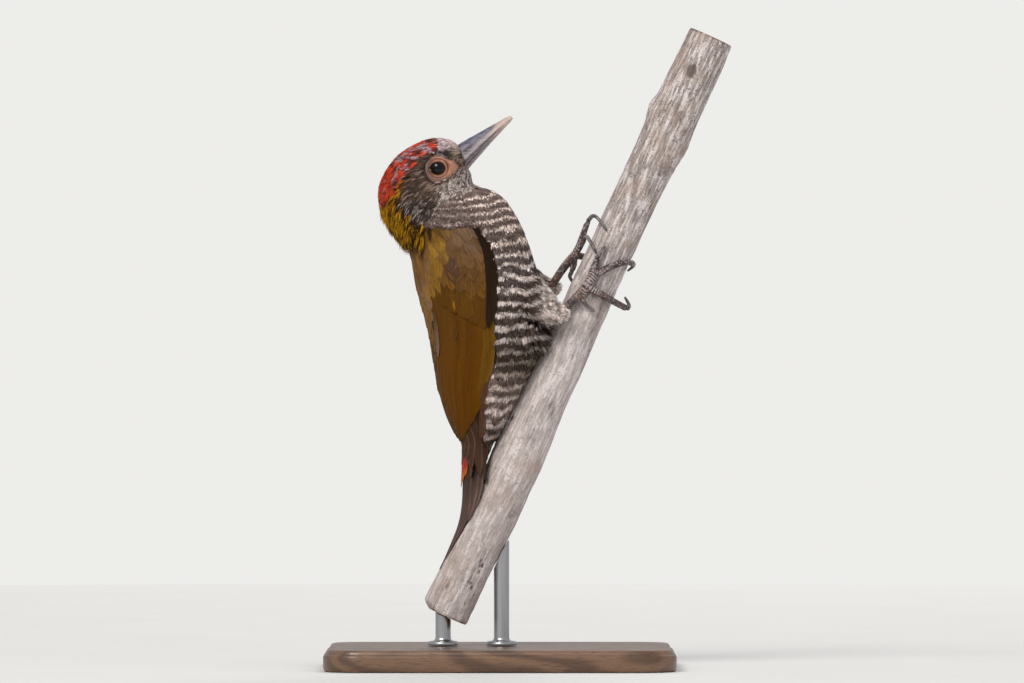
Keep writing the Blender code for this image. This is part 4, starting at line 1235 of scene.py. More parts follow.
# Wing feathers, each row a list of (root height, root angle, tip height, tip angle).
# Angle 0 is the back, 90 the flank.
wing = {
    "primaries": [(104, 109, 62.5, 128), (104, 104, 60.4, 118), (104, 100, 59.4, 108), (104, 99, 64.6, 106),
                  (104, 98, 69.2, 101), (104, 97, 73.2, 100), (104, 96, 76.4, 99), (104, 95, 82.0, 98)],
    "secondaries": [(119, 90, 91.0, 92.5), (119, 86.5, 87.0, 90), (119, 83, 83.6, 87), (119, 82, 80.4, 84),
                    (119, 78, 77.6, 77), (119, 73, 75.2, 68), (119, 67, 73.2, 58), (119, 60, 72.6, 48)],
    "tertials": [(120, 53, 74.5, 44), (120, 46, 77.5, 36), (120, 38, 84.0, 29)],
    "greyTertials": [(114, 34, 99.5, 31)],
    "wingTip": [(92, 98, 58.4, 106), (92, 88, 59.2, 92), (92, 76, 61.4, 77), (92, 64, 64.0, 62),
                (92, 54, 66.4, 50), (90, 42, 67.6, 36)],
    "innerTertials": [(116, 25, 72.6, 28), (113, 17, 73.6, 18), (109, 9, 75.0, 8), (105, 2, 77.0, 0)],
    "rumpTop": [(84, 34, 67.0, 33), (84, 23, 66.2, 22), (84, 12, 65.4, 11), (84, 2, 65.0, 2)],
    "rump": [(70, 32, 61.5, 30), (70, 19, 59.8, 18), (70, 6, 58.0, 6)],
    "greaterCoverts": [(125, 92, 108.6, 88), (125, 84, 109.8, 80), (125, 75, 111.6, 71), (125, 66, 113.4, 61),
                       (125, 57, 115.4, 52)],
    "leadingEdge": [(143.5, 113.5, 121.0, 107.5), (141, 112, 113.5, 99.0), (136, 109.5, 108.6, 92.5)],
    "primaryTint": ((0.034, 0.016, 0.009), (0.06, 0.029, 0.015), (0.066, 0.032, 0.018), (0.17, 0.098, 0.068)),
    "tipTint": ((0.024, 0.011, 0.006), (0.046, 0.022, 0.013), (0.05, 0.025, 0.015), (0.13, 0.08, 0.058)),
    "secondaryTint": ((0.082, 0.031, 0.002), (0.094, 0.032, 0.0008), (0.098, 0.034, 0.0008),
                      (0.106, 0.042, 0.001)),
    "frontTint": ((0.082, 0.036, 0.003), (0.102, 0.046, 0.003), (0.104, 0.046, 0.003), (0.16, 0.078, 0.007)),
    "tertialTint": ((0.09, 0.036, 0.003), (0.1, 0.036, 0.002), (0.098, 0.037, 0.003), (0.112, 0.046, 0.005)),
    "greyTint": ((0.07, 0.04, 0.02), (0.125, 0.078, 0.056), (0.145, 0.098, 0.078), (0.11, 0.058, 0.03)),
    "covertTint": ((0.048, 0.019, 0.003), (0.085, 0.034, 0.003), (0.087, 0.035, 0.003),
                   (0.104, 0.045, 0.006)),
    "innerTint": ((0.03, 0.015, 0.003), (0.06, 0.029, 0.005), (0.062, 0.032, 0.006), (0.085, 0.045, 0.009)),
    "rumpTint": ((0.035, 0.012, 0.006), (0.34, 0.02, 0.007), (0.5, 0.15, 0.012), (0.34, 0.024, 0.009)),
    "edgeTint": ((0.012, 0.006, 0.003), (0.016, 0.008, 0.003), (0.02, 0.01, 0.005), (0.04, 0.022, 0.012)),
}


def varied(tints, change=0.1):
    shade = 1 + chance.normal(0, change)
    return tuple(tuple(min(part * shade, 1.0) for part in tint) for tint in tints)


def wingVanes(side):
    vanes = []

    def layRow(kind, width, tint, change, **shape):
        # one row of feathers, the last one uppermost; rise holds the first lift, the step and the root's
        first, step, start = shape.pop("rise")
        lay = shape.pop("lay", layWing)
        for order, row in enumerate(wing[kind]):
            own = tint(order) if callable(tint) else wing[tint]
            vane = longVane(lay, row[:2], row[2:], width, side, lift=(start, first + step * order),
                            seed=chance.random(), **shape)
            vanes.append((*vane, varied(own, change)))

    layRow("primaries", 3.5, "primaryTint", 0.08, rise=(-0.15, 0.05, -0.6), rows=34, columns=7, point=0.56,
           power=1.2, bow=1.2)
    layRow("wingTip", 3.8, "tipTint", 0.1, rise=(0.0, 0.04, -0.7), rows=34, columns=7, point=0.58, power=1.2,
           lay=layRump)
    layRow("rumpTop", 4.6, "innerTint", 0.08, rise=(-0.2, 0.05, -0.6), lay=layRump, point=0.6, thickness=0.1)
    layRow("secondaries", 5.8, lambda order: wing["frontTint" if order < 2 else "secondaryTint"], 0.05,
           rise=(-0.05, 0.05, -0.3), camber=0.13, point=0.78, power=2.0, bow=1.3, thickness=0.1)
    layRow("tertials", 5.4, "tertialTint", 0.05, rise=(0.34, 0.06, -0.2), camber=0.14, bow=1.1, thickness=0.1)
    layRow("greyTertials", 1.9, "greyTint", 0.05, rise=(0.56, 0.0, 0.2), camber=0.05, thickness=0.08,
           point=0.6)
    layRow("innerTertials", 4.8, "innerTint", 0.08, rise=(0.1, 0.05, -0.3), camber=0.14, point=0.7,
           thickness=0.1)
    layRow("leadingEdge", 3.0, "edgeTint", 0.06, rise=(0.34, 0.1, 0.0), rows=24, columns=7, point=0.82,
           power=1.6, bow=1.6)
    layRow("greaterCoverts", 7.4, "covertTint", 0.05, rise=(0.1, 0.04, -0.3), rows=18, thickness=0.05,
           camber=0.08, point=0.6)
    return vanes


# Back and shoulder: short rounded feathers in rows like shingles.
shingles = {
    "low": 90.0, "high": 147.0, "step": 2.5, "length": 8.6, "width": 5.6, "spread": 0.52,
    # places of another colour: height and angle, reach up and round, tint, share
    "spots": [((126.6, 69.0), (2.6, 5.0), (0.05, 0.024, 0.014), 0.9),
              ((118.0, 61.5), (3.0, 6.0), (0.2, 0.082, 0.004), 1.0),
              ((122.0, 74.0), (2.6, 4.5), (0.075, 0.036, 0.01), 0.6),
              ((128.0, 40.0), (5.0, 4.0), (0.15, 0.092, 0.055), 0.7),
              ((118.5, 25.0), (5.0, 4.0), (0.15, 0.1, 0.07), 0.7),
              ((134.0, 92.0), (3.0, 4.0), (0.13, 0.08, 0.05), 0.6),
              ((140.0, 66.0), (3.0, 9.0), (0.075, 0.036, 0.006), 0.8)],
    # single feathers: root and tip (height, angle), width, lift, middle and edge tint
    "odd": [((134.0, 73.0), (126.6, 67.0), 3.6, 0.06, (0.066, 0.034, 0.022), (0.2, 0.145, 0.13)),
            ((123.5, 62.5), (114.2, 61.5), 2.7, 0.24, (0.19, 0.078, 0.004), (0.2, 0.094, 0.012)),
            ((110.0, 58.0), (105.0, 57.0), 1.4, 0.46, (0.068, 0.028, 0.004), (0.074, 0.031, 0.004))],
}


def shingleTints(height, angle):
    cloud = noise.noise(Vector((height * 0.16, angle * 0.05, 0.0)))
    tone = toneAt(height, angle) * (1 + 0.07 * chance.normal() + 0.26 * cloud)
    for spot, reach, tint, share in shingles["spots"]:
        share = share * float(hump(height + 1.2, spot[0], reach[0]) * hump(angle, spot[1], reach[1]))
        tone = tone * (1 - share) + np.array(tint) * share
    edge = tone * 1.1
    pick = chance.random()
    if pick < 0.1:
        edge = tone * 0.85 + np.array((0.045, 0.034, 0.03))
    elif pick < 0.3 and angle < 66 and height > 112:
        edge = tone * 0.5 + np.array((0.15, 0.085, 0.006))
    tints = np.clip(np.stack([tone * 0.7, tone, tone * 1.04, edge]), 0.001, 1)
    return tuple(tuple(tint) for tint in tints)


def shingleVanes(side):
    vanes = []
    height, row = shingles["low"], 0
    while height < shingles["high"]:
        middle, _ = layWing(height, 60.0, side, 0.0)
        reach = hypot(middle.x / mm - middleAt(height), middle.y / mm)
        step = degrees(shingles["width"] * shingles["spread"] / reach)
        end = float(wingFront(height)) - 7.5 if height > 116.5 else float(wingBack(height)) + 5.0
        angle = step * 0.5 * (row % 2)
        while angle < end:
            turn = min(angle + chance.normal(0, 2.2), end)
            tipHeight = height + chance.normal(0, 0.7)
            width = shingles["width"] * (1 + 0.12 * chance.normal())
            # the back sits lower under the ends of the nape feathers
            sink = 0.55 * hump(height, 133.0, 8.0) * (1 - ease(angle, 45.0, 62.0))
            root = (min(height + shingles["length"], 151.0), turn)
            tip = (tipHeight, turn + chance.normal(0, 3.5))
            vane = longVane(layWing, root, tip, width, side, rows=10, columns=7,
                            lift=(-0.45 - sink, 0.05 - sink + 0.02 * chance.normal()),
                            camber=0.13, thickness=0.04, point=0.42, power=1.8, seed=chance.random())
            vanes.append((*vane, shingleTints(height, turn)))
            angle += step
        height += shingles["step"]
        row += 1
    for root, tip, width, lift, middle, edge in shingles["odd"]:
        vane = longVane(layWing, root, tip, width, side, rows=14, columns=7, lift=(-0.3, lift), camber=0.13,
                        thickness=0.05, point=0.5, power=1.7, seed=chance.random())
        vanes.append((*vane, (tuple(part * 0.8 for part in middle), middle, middle, edge)))
    return vanes


sides = {"right": -1, "left": 1}
vaneSets = [("wing", wingVanes, dict(barb=0.12, shaft=0.1, edge=0.6, tone=0.1, depth=0.04, gloss=0.06)),
            ("back", shingleVanes, dict(barb=0.34, edge=0.55, tone=0.16, depth=0.05, gloss=0.08))]
for kind, makeVanes, look in vaneSets:
    vaneMaterial = featherMaterial(kind + " feathers", **look)
    for label, side in sides.items():
        joinVanes(kind + "_feathers_" + label, makeVanes(side), vaneMaterial, "golden_plumage")

# Tail: five stiff pointed feathers to a side, the middle pair longest and uppermost.
tailLow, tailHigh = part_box("tail")
tail = {
    "ends": [1.0, 0.9, 0.79, 0.69, 0.6],
    "angles": [13, 29, 44, 58, 70],
    "width": 5.0,
    "drop": -1.4,      # towards the branch at the tip
    # the middle pair's fourth tint, along one edge of each vane, is a painted grey-blue highlight
    "middle": ((0.018, 0.012, 0.011), (0.034, 0.027, 0.028), (0.038, 0.031, 0.033), (0.15, 0.125, 0.13)),
    "others": ((0.022, 0.011, 0.008), (0.064, 0.035, 0.025), (0.062, 0.036, 0.028), (0.22, 0.135, 0.105)),
    "centre": ([30, 40, 46, 59, 73], [-14.5, -11.0, -7.6, -4.6, -3.6]),
}
layTail = makeLay(nodeTree("tail"), lambda height: float(np.interp(height, *tail["centre"])), 84.0, True)


def makeTail():
    vanes = []
    top, bottom = tailHigh.z / mm - 0.2, tailLow.z / mm + 0.3
    for order in range(4, -1, -1):
        for side in (-1, 1):
            reach, angle = tail["ends"][order], tail["angles"][order]
            tip = (top - (top - bottom) * reach, angle * 0.9 + (0 if order else -6))
            vane = longVane(layTail, (top, angle), tip, tail["width"], side, rows=34,
                            lift=(-0.05 - 0.03 * order, tail["drop"] * reach - 0.12 * order), camber=0.14,
                            thickness=0.3, power=1.25, seed=chance.random())
            vanes.append((*vane, varied(tail["others" if order else "middle"], 0.15)))
    for order, row in enumerate(wing["rump"]):
        for side in (-1, 1):
            vane = longVane(layRump, row[:2], row[2:], 3.4, side, lift=(-0.1, -0.3 + 0.06 * order), rows=18,
                            columns=7, thickness=0.1, point=0.5, power=1.5, seed=chance.random())
            vanes.append((*vane, varied(wing["rumpTint"], 0.12)))
    material = featherMaterial("tail feathers", barb=0.4, shaft=0.6, edge=0.5, tone=0.2, gloss=0.25)
    joinVanes("tail_feathers", vanes, material, "tail_plumage", "tail")


makeTail()


def smoothTable(table, places):
    # the rows of a table at any place in its first column, on a smooth curve
    table = np.array(table, float)
    x, values = table[:, 0], table[:, 1:]
    slope = np.gradient(values, x, axis=0)
    cell = np.clip(np.searchsorted(x, places) - 1, 0, len(x) - 2)
    width = (x[cell + 1] - x[cell])[:, None]
    u = ((places - x[cell])[:, None]) / width
    return ((2 * u**3 - 3 * u**2 + 1) * values[cell] + (u**3 - 2 * u**2 + u) * width * slope[cell]
            + (3 * u**2 - 2 * u**3) * values[cell + 1] + (u**3 - u**2) * width * slope[cell + 1])


def makeBillMaterial():
    material, where = newMaterial("bill horn")
    along, across, upper = parted(field(where.tree, "horn"))
    # streaks run along the bill
    streak = cloudy(turned(where, radians(bill["pitch"]), (160.0, 1500.0, 1500.0)), 1.0, 3.0)
    broad = cloudy(where, 330.0, 2.0)
    pale = blend(stretch(streak, 0.35, 0.65), (0.155, 0.125, 0.14), (0.31, 0.26, 0.265))
    pale = blend(stretch(along, 0.45, 0.85), pale, (0.5, 0.36, 0.285))
    dark = blend(stretch(streak, 0.3, 0.7), (0.036, 0.033, 0.058), (0.13, 0.118, 0.175))
    band = stretch(across + streak * 0.16, 0.5, 0.62) * upper * (1.0 - stretch(along, 0.62, 0.84))
    colour = blend(band, pale, dark)
    # bristle streaks over the nostril, a dark line along the lower half, and the gape line
    near = 1.0 - stretch(along, 0.2, 0.46)
    nostril = (1.0 - stretch(abs(across - 0.42), 0.1, 0.26)) * near * stretch(streak, 0.44, 0.56)
    colour = blend(nostril * 0.92, colour, (0.035, 0.028, 0.03))
    under = (1.0 - stretch(abs(across - 0.34), 0.03, 0.12)) * near * (1.0 - upper)
    colour = blend(under * 0.7, colour, (0.05, 0.04, 0.042))
    gape = (1.0 - stretch(across, 0.05, 0.17)) * (1.0 - stretch(along, 0.7, 0.92))
    colour = blend(gape * 0.85, colour, (0.055, 0.043, 0.046))
    colour = blend(stretch(broad, 0.45, 0.65) * 0.3, colour, (0.21, 0.17, 0.2))
    return finishMaterial(material, colour, stretch(streak, 0.3, 0.7, 0.32, 0.48), streak, 0.1,
                          Specular_IOR_Level=0.35)


def makeBillPart(name, upper, node, material):
    places = np.linspace(bill["sections"][0][0], bill["length"], bill["rows"])
    table = smoothTable(bill["sections"], places)
    turns = np.linspace(-pi / 2, pi / 2, bill["around"])
    points = np.zeros((len(places), len(turns) * 2, 3))
    marks = np.zeros((len(places), len(turns) * 2, 3))
    for row, (ahead, (ridge, gape, under, half)) in enumerate(zip(places, table)):
        share = (ahead - places[0]) / (places[-1] - places[0])
        sideways = np.sin(turns)
        if upper:
            edge, peak = gape + bill["slit"] / 2, ridge
            shape = np.cos(turns) ** 1.65
            groove = 0.16 * hump(shape, 0.4, 0.1) + 0.1 * hump(shape, 0.62, 0.06)
            groove = groove - 0.07 * hump(shape, 0.52, 0.07)
            groove = groove * (1 - ease(share, 0.45, 0.8)) * ease(share, 0.05, 0.2)
            nostril = 0.42 * hump(share, 0.2, 0.085) * hump(shape, 0.36, 0.13)
        else:
            edge, peak = gape - bill["slit"] / 2, under
            shape = np.cos(turns) ** 1.5
            groove = 0.1 * hump(shape, 0.45, 0.12) * (1 - ease(share, 0.5, 0.9))
            nostril = 0.0
        inset = 1 - (groove + nostril) / max(half, 0.6)
        wave = 0.035 * np.sin(ahead * 2.1 + shape * 9.0)
        horn = np.stack([sideways * half * inset, edge + (peak - edge) * shape * (1 + wave * 0.15)], 1)
        palate = np.stack([sideways[::-1] * half * 0.92, edge + (peak - edge) * 0.12 * np.cos(turns)], 1)
        ring = np.concatenate([horn, palate])
        points[row] = billBase + billForward * ahead + ring[:, 1:] * billUp
        points[row, :, 1] += ring[:, 0]
        marks[row, :, 0] = share
        marks[row, :len(turns), 1] = shape
        marks[row, :, 2] = 1.0 if upper else 0.0
    faces = tubeFaces(*points.shape[:2], inward=True)
    if upper:
        faces = faces[:, ::-1]
    piece = newMesh(name, points.reshape(-1, 3) * mm, [faces], material)
    addField(piece, "horn", marks.reshape(-1, 3))
    closeEnds(piece)
    finishPiece(piece, "bill_dark" if upper else "bill_pale", node)


def closeEnds(piece):
    # welds doubled points, closes open ends and turns all faces outward
    build = bmesh.new()
    build.from_mesh(piece.data)
    bmesh.ops.remove_doubles(build, verts=build.verts, dist=1e-7)
    bmesh.ops.holes_fill(build, edges=[e for e in build.edges if e.is_boundary], sides=0)
    bmesh.ops.recalc_face_normals(build, faces=build.faces)
    build.to_mesh(piece.data)
    build.free()
    shadeSmooth(piece)


billHorn = makeBillMaterial()
makeBillPart("bill_upper_horn", True, "bill_upper", billHorn)
makeBillPart("bill_lower_horn", False, "bill_lower", billHorn)

eye = {"radius": 3.15, "depth": 5.75, "opening": 2.5, "pupil": 0.62, "iris": 0.93}


def makeEye(name, side, node, material):
    rows, columns = 40, 64
    points, marks = [], []
    for row in range(rows + 1):
        tilt = pi * row / rows
        radius = eye["radius"] * (1 + 0.045 * float(hump(tilt, 0.0, 0.42)))
        for column in range(columns):
            turn = 2 * pi * column / columns
            points.append((eyeSpot[0] + radius * sin(tilt) * cos(turn),
                           side * (eye["depth"] + radius * cos(tilt)),
                           eyeSpot[2] + radius * sin(tilt) * sin(turn)))
            away = eye["radius"] * sin(tilt) / eye["opening"] if tilt < pi / 2 else 2.0
            marks.append((away, turn / (2 * pi), 0.0))
    piece = newMesh(name, np.array(points) * mm, [tubeFaces(rows + 1, columns, inward=True)], material)
    addField(piece, "iris", np.array(marks))
    closeEnds(piece)
    finishPiece(piece, "eye", node)


def makeEyeMaterial():
    material, where = newMaterial("eyeball")
    marks = field(where.tree, "iris")
    away = parted(marks)[0]
    fibres = cloudy(scaled(marks, (3.0, 60.0, 1.0)), 1.0, 2.0)
    iris = blend(fibres, (0.006, 0.003, 0.003), (0.02, 0.009, 0.007))
    colour = blend(stretch(away, eye["pupil"] - 0.03, eye["pupil"] + 0.03), (0.002, 0.002, 0.003), iris)
    colour = blend(stretch(away, eye["iris"] - 0.05, eye["iris"] + 0.04), colour, (0.01, 0.006, 0.005))
    rough = stretch(fibres, 0.0, 1.0, 0.04, 0.07)
    return finishMaterial(material, colour, rough, fibres, 0.01, strength=0.02, Specular_IOR_Level=0.12,
                          Coat_Weight=0.3, Coat_Roughness=0.02)


def makeLidMaterial():
    material, where = newMaterial("bare skin")
    rings, share, fold = parted(field(where.tree, "lid"))
    front = parted(field(where.tree, "lidFront"))[0]
    out = mottled(where, (0.5, 0.225, 0.14), (0.36, 0.16, 0.105), 900.0, 0.4, 0.62, 0.35, 4000.0)
    # painted shade: the skin is darkened in the troughs of its folds
    colour = blend(stretch(fold, -0.9, 0.0, 0.92, 0.0), out["Color"], (0.11, 0.05, 0.036))
    # painted shade along a crease in one of the fold troughs
    creaseShade = stretch(abs(rings - 1.45), 0.1, 0.46, 0.75, 0.0)
    colour = blend(creaseShade, colour, (0.1, 0.045, 0.032))
    rim = 1.0 - stretch(rings, 0.05, 0.22)
    colour = blend(rim * 0.85, colour, (0.12, 0.062, 0.058))
    edge = blend(front, (0.155, 0.085, 0.062), (0.285, 0.14, 0.092))
    colour = blend(stretch(share + out["Mask"] * 0.12, 0.42, 0.72), colour, edge)
    colour = blend(stretch(front, 0.0, 0.7, 0.42, 0.0), colour, (0.1, 0.055, 0.044))
    speck = cloudy(where, 2600.0, 2.0)
    colour = blend(stretch(speck, 0.53, 0.64, 0.0, 0.5), colour, (0.15, 0.078, 0.055))
    return finishMaterial(material, colour, 0.5, out["Height"], 0.14, Specular_IOR_Level=0.4)


def makeLids(name, side, material):
    rings, around = lids["rings"], lids["around"]
    points = np.zeros((rings, around, 3))
    marks = np.zeros((rings, around, 3))
    fronts = np.zeros((rings, around, 3))
    for column in range(around):
        turn = 2 * pi * column / around
        reach = float(lidReach(turn)) + lids["tuck"]
        inner = lids["inner"] * (1 - (1 - lids["flat"]) * sin(turn) ** 2)
        for row in range(rings):
            share = row / (rings - 1)
            radius = inner + (reach - inner) * share
            x, z = eyeSpot[0] + radius * cos(turn), eyeSpot[2] + radius * sin(turn)
            awayX, awayZ = x - eyeCentre[0], z - eyeCentre[2]
            push = max(1.0, lids["clear"] / max(hypot(awayX, awayZ), 0.1)) * mm
            spot = Vector((eyeCentre[0] * mm + awayX * push, side * 0.05, eyeCentre[2] * mm + awayZ * push))
            hit = outerTree.ray_cast(spot, Vector((0, -side, 0)))[0]
            flat = abs(hit.y) / mm if hit else 6.0
            ball = eye["depth"] + np.sqrt(max(eye["radius"] ** 2 - radius**2, 0.0))
            mix = float(ease(share, 0.0, 0.42))
            depth = ball * (1 - mix) + (flat - 0.12) * mix
            fromRim = radius - inner
            lip = 0.24 * float(hump(fromRim, 0.16, 0.17))
            fold = cos(fromRim * 2 * pi / lids["fold"] + 0.7 * sin(3 * turn)) * (1 - share)
            fold = fold * float(ease(fromRim, 0.25, 0.5))
            pucker = 0.022 * sin(turn * 34 + fromRim * 5) * float(ease(share, 0.15, 0.5))
            inside = -0.35 if row == 0 else 0.0
            edge = -0.5 * float(ease(share, 0.82, 1.0))
            points[row, column] = (x, side * (depth + lip + 0.13 * fold + pucker + inside + edge), z)
            # the third mark is the fold, whose troughs the material darkens as painted shade
            marks[row, column] = (fromRim / lids["fold"], share, fold)
            fronts[row, column, 0] = ease(cos(turn - 0.5), -0.4, 0.9)
    faces = tubeFaces(rings, around, inward=True)
    if side < 0:
        faces = faces[:, ::-1]
    piece = newMesh(name, points.reshape(-1, 3) * mm, [faces], material)
    addField(piece, "lid", marks.reshape(-1, 3))
    addField(piece, "lidFront", fronts.reshape(-1, 3))
    addUnwrap(piece, 0.5 + (points - eyeSpot)[..., [0, 2]].reshape(-1, 2) / 18.0)
    finishPiece(piece, "leg_skin")


eyeMaterial = makeEyeMaterial()
lidMaterial = makeLidMaterial()
for label, side in sides.items():
    makeEye("eyeball_" + label, side, "eye_" + label, eyeMaterial)
    makeLids("eyelids_" + label, side, lidMaterial)
print("head parts: done")


# Marks on the branch stand at a distance from its low end and a turn in degrees.
perch = {"rows": 330, "around": 132, "crack": 0.24, "lump": 0.32, "pit": 0.38, "scar": (191, -4), "wound": 163,
         "knobs": [(176, -86, 2.6, 0.75), (53, 34, 4.2, 0.45), (120, 30, 3.4, 0.35)], "feet": (140, 150)}


def fractal(places, octaves=3):
    return np.array([noise.fractal(Vector(p), 1.0, 2.0, octaves) for p in places])


def makePerch():
    held = copyOf(["perch"], "held")
    tree = treeOf(held)
    cad = readPoints(held)
    bpy.data.objects.remove(held)
    centre = cad.mean(0)
    way = np.linalg.svd(cad - centre, full_matrices=False)[2][0]
    way = way if way[2] > 0 else -way
    sideWay = np.array([0.0, -1.0, 0.0])
    upWay = np.cross(way, sideWay)
    spots = (cad - centre) @ way
    low, high = spots.min() + 0.25 * mm, spots.max() - 0.25 * mm
    rows, around = perch["rows"], perch["around"]
    reach = np.zeros((rows, around))
    lines = np.linspace(low, high, rows)
    turns = np.arange(around) * 2 * pi / around
    ways = np.cos(turns)[:, None] * sideWay + np.sin(turns)[:, None] * upWay
    for row, line in enumerate(lines):
        middle = centre + way * line
        for column in range(around):
            distance = tree.ray_cast(Vector(middle), Vector(ways[column]))[3]
            reach[row, column] = 8 * mm if distance is None else distance
    for _ in range(5):
        reach = reach * 0.4 + (np.roll(reach, 3, 1) + np.roll(reach, -3, 1)) * 0.3
        padded = np.concatenate([reach[:1], reach, reach[-1:]])
        reach = reach * 0.5 + (padded[:-2] + padded[2:]) * 0.25
    line = np.repeat(lines / mm, around)
    ring = np.tile(ways, (rows, 1))
    crossing = np.stack([ring @ sideWay, ring @ upWay], 1)
    grooves = fractal(np.column_stack([crossing * 2.6, line * 0.035]), 4)
    fine = fractal(np.column_stack([crossing * 7.5, line * 0.16]), 3)
    lumps = fractal(np.column_stack([crossing * 1.1, line * 0.06]) + 7.3, 2)
    flakes = fractal(np.column_stack([crossing * 3.2, line * 0.42]) + 31.0, 4)
    crack = -np.clip(np.abs(grooves) * -4.0 + 0.55, 0, 1) * perch["crack"]
    rough = ease(fractal(np.column_stack([crossing * 0.9, line * 0.045]) + 3.1, 3), 0.05, 0.4)
    pits = -np.clip(flakes - 0.34, 0, 0.5) * 2 * perch["pit"] * (0.35 + 0.9 * rough)
    lift = (crack + pits + fine * 0.09 + lumps * perch["lump"] * 0.6 + flakes * 0.1) * mm
    lift = lift.reshape(rows, around)
    turnGrid = np.tile(turns, (rows, 1))
    lineGrid = np.tile((lines / mm)[:, None], (1, around))

    def patch(at, turn, long, wide):
        away = (turnGrid - turn + pi) % (2 * pi) - pi
        return np.exp(-((lineGrid - at) / long) ** 2 - (away / wide) ** 2)

    start = lines[0] / mm
    at, turn = start + perch["scar"][0], radians(perch["scar"][1])
    scar = patch(at, turn, 3.0, 0.34)
    rim = patch(at, turn, 5.2, 0.62) - scar
    lift += (rim * 0.55 - scar * 0.5 * (1 + 0.6 * flakes.reshape(rows, around))) * mm
    for at, turn, size, height in perch["knobs"]:
        knob = patch(start + at, radians(turn), size, size / 8)
        lift += knob * height * mm * (1 + 0.9 * flakes.reshape(rows, around))
    for number in range(3):
        # curved ridges of an old wound, above the feet
        bend = lineGrid - (start + perch["wound"] + number * 3.2) + 5.5 * np.cos((turnGrid - 0.9) * 1.3)
        lift += hump(bend, 0.0, 0.55) * hump(turnGrid, 1.0, 0.5) * (0.5 - 0.1 * number) * mm
    ends = ease(np.minimum(lineGrid - lineGrid.min(), lineGrid.max() - lineGrid), 0.0, 0.8)
    # no mark stands out under the feet and below them
    most = (0.22 + 0.5 * ease(lineGrid - start, *perch["feet"])) * mm
    lift = np.minimum(lift, most) - (1 - ends) * 0.25 * mm
    reach = reach - 0.12 * mm + lift
    points = (centre + lines[:, None, None] * way + reach[..., None] * ways[None]).reshape(-1, 3)
    total = rows * around
    extra, fans, quads = [], [], [tubeFaces(rows, around)]
    # the first mark is the lift, which the material darkens where it is low as painted shade
    marks = [np.column_stack([lift.ravel() / mm, np.zeros(total), rough])]
    for end, out in ((np.arange(around), -1), (np.arange(total - around, total), 1)):
        # sawn end: rings of points that stand out a little, down to one in the middle
        middle = points[end].mean(0)
        before = end
        for share in (0.97, 0.85, 0.7, 0.55, 0.4, 0.25, 0.12):
            extra.append(middle + (points[end] - middle) * share + way * out * 0.12 * mm)
            marks.append(np.tile((0.0, 2.0 + share, 0.0), (around, 1)))
            ids = total + np.arange(around)
            total += around
            quads.append(np.stack([before, np.roll(before, -1), np.roll(ids, -1), ids], -1)[:, ::out])
            before = ids
        extra.append(middle[None] + way * out * 0.12 * mm)
        marks.append([[0.0, 2.0, 0.0]])
        fans.append(np.stack([before, np.roll(before, -1), np.full(around, total)], -1)[:, ::out])
        total += 1
    faces = [np.concatenate(quads), np.concatenate(fans)]
    piece = newMesh("perch_bark", np.concatenate([points, *extra]), faces, makeBarkMaterial(way))
    addField(piece, "bark", np.concatenate(marks))
    closeEnds(piece)
    finishPiece(piece, "bark", "perch")
    return way, centre


def makeBarkMaterial(way):
    material, where = newMaterial("branch bark")
    lift, sawn, _ = parted(field(where.tree, "bark"))
    upright = turned(where, -atan2(way[0], way[2]))
    out = mottled(where, (0.4, 0.345, 0.31), (0.315, 0.272, 0.262), 130.0, 0.4, 0.62, 0.55, 1900.0)
    fibre = cloudy(scaled(upright, (1.0, 1.0, 0.075)), 2100.0, 4.0, 0.65)
    pale = cloudy(scaled(upright, (1.0, 1.0, 0.16)), 1000.0, 3.0, 0.6)
    speck = cloudy(where, 1500.0, 3.0, 0.7)
    warm = cloudy(where, 90.0, 3.0)
    height = parted(where)[2]
    colour = blend(stretch(fibre, 0.49, 0.63, 0.0, 0.8), out["Color"], (0.15, 0.112, 0.098))
    colour = blend(stretch(pale, 0.46, 0.62, 0.0, 0.8), colour, (0.76, 0.68, 0.665))
    colour = blend(stretch(speck, 0.56, 0.64, 0.0, 0.85), colour, (0.085, 0.062, 0.054))
    # painted light: the bark is paler towards the low end of the branch, where it is more brightly lit
    colour = blend(stretch(height, 0.17, 0.09, 0.0, 0.42), colour, (0.6, 0.525, 0.505))
    colour = blend(stretch(warm, 0.5, 0.72, 0.0, 0.45), colour, (0.3, 0.21, 0.155))
    # painted shade: darker where the surface lies low, in cracks, pits and hollows
    colour = blend(stretch(lift, -0.34, -0.06, 0.8, 0.0), colour, (0.085, 0.062, 0.055))
    # growth rings and pith on the sawn ends
    rings = (sawn * 36.0 + warm * 6.0).sum("SINE")
    wood = blend(stretch(rings, 0.1, 0.95), (0.55, 0.41, 0.275), (0.31, 0.195, 0.115))
    wood = blend(stretch(sawn, 2.04, 2.12, 0.85, 0.0), wood, (0.19, 0.11, 0.065))
    wood = blend(stretch(fibre, 0.4, 0.7, 0.0, 0.4), wood, (0.3, 0.19, 0.11))
    colour = blend(stretch(sawn, 1.2, 1.8), colour, wood)
    return finishMaterial(material, colour, stretch(fibre, 0.3, 0.7, 0.95, 0.8),
                          fibre * -1.0 + speck * -0.6 + out["Height"], 0.35, Specular_IOR_Level=0.25)


branchWay, branchCentre = makePerch()
print("branch: done")


feet = {"voxel": 0.21, "scute": 0.78, "relief": 0.16, "toeEnd": 0.78,
        "hubs": {"right": (27.6, -8.7, 122.4), "left": (23.9, 1.2, 132.2)}}
toes = ("inner", "outer", "middle", "hind")


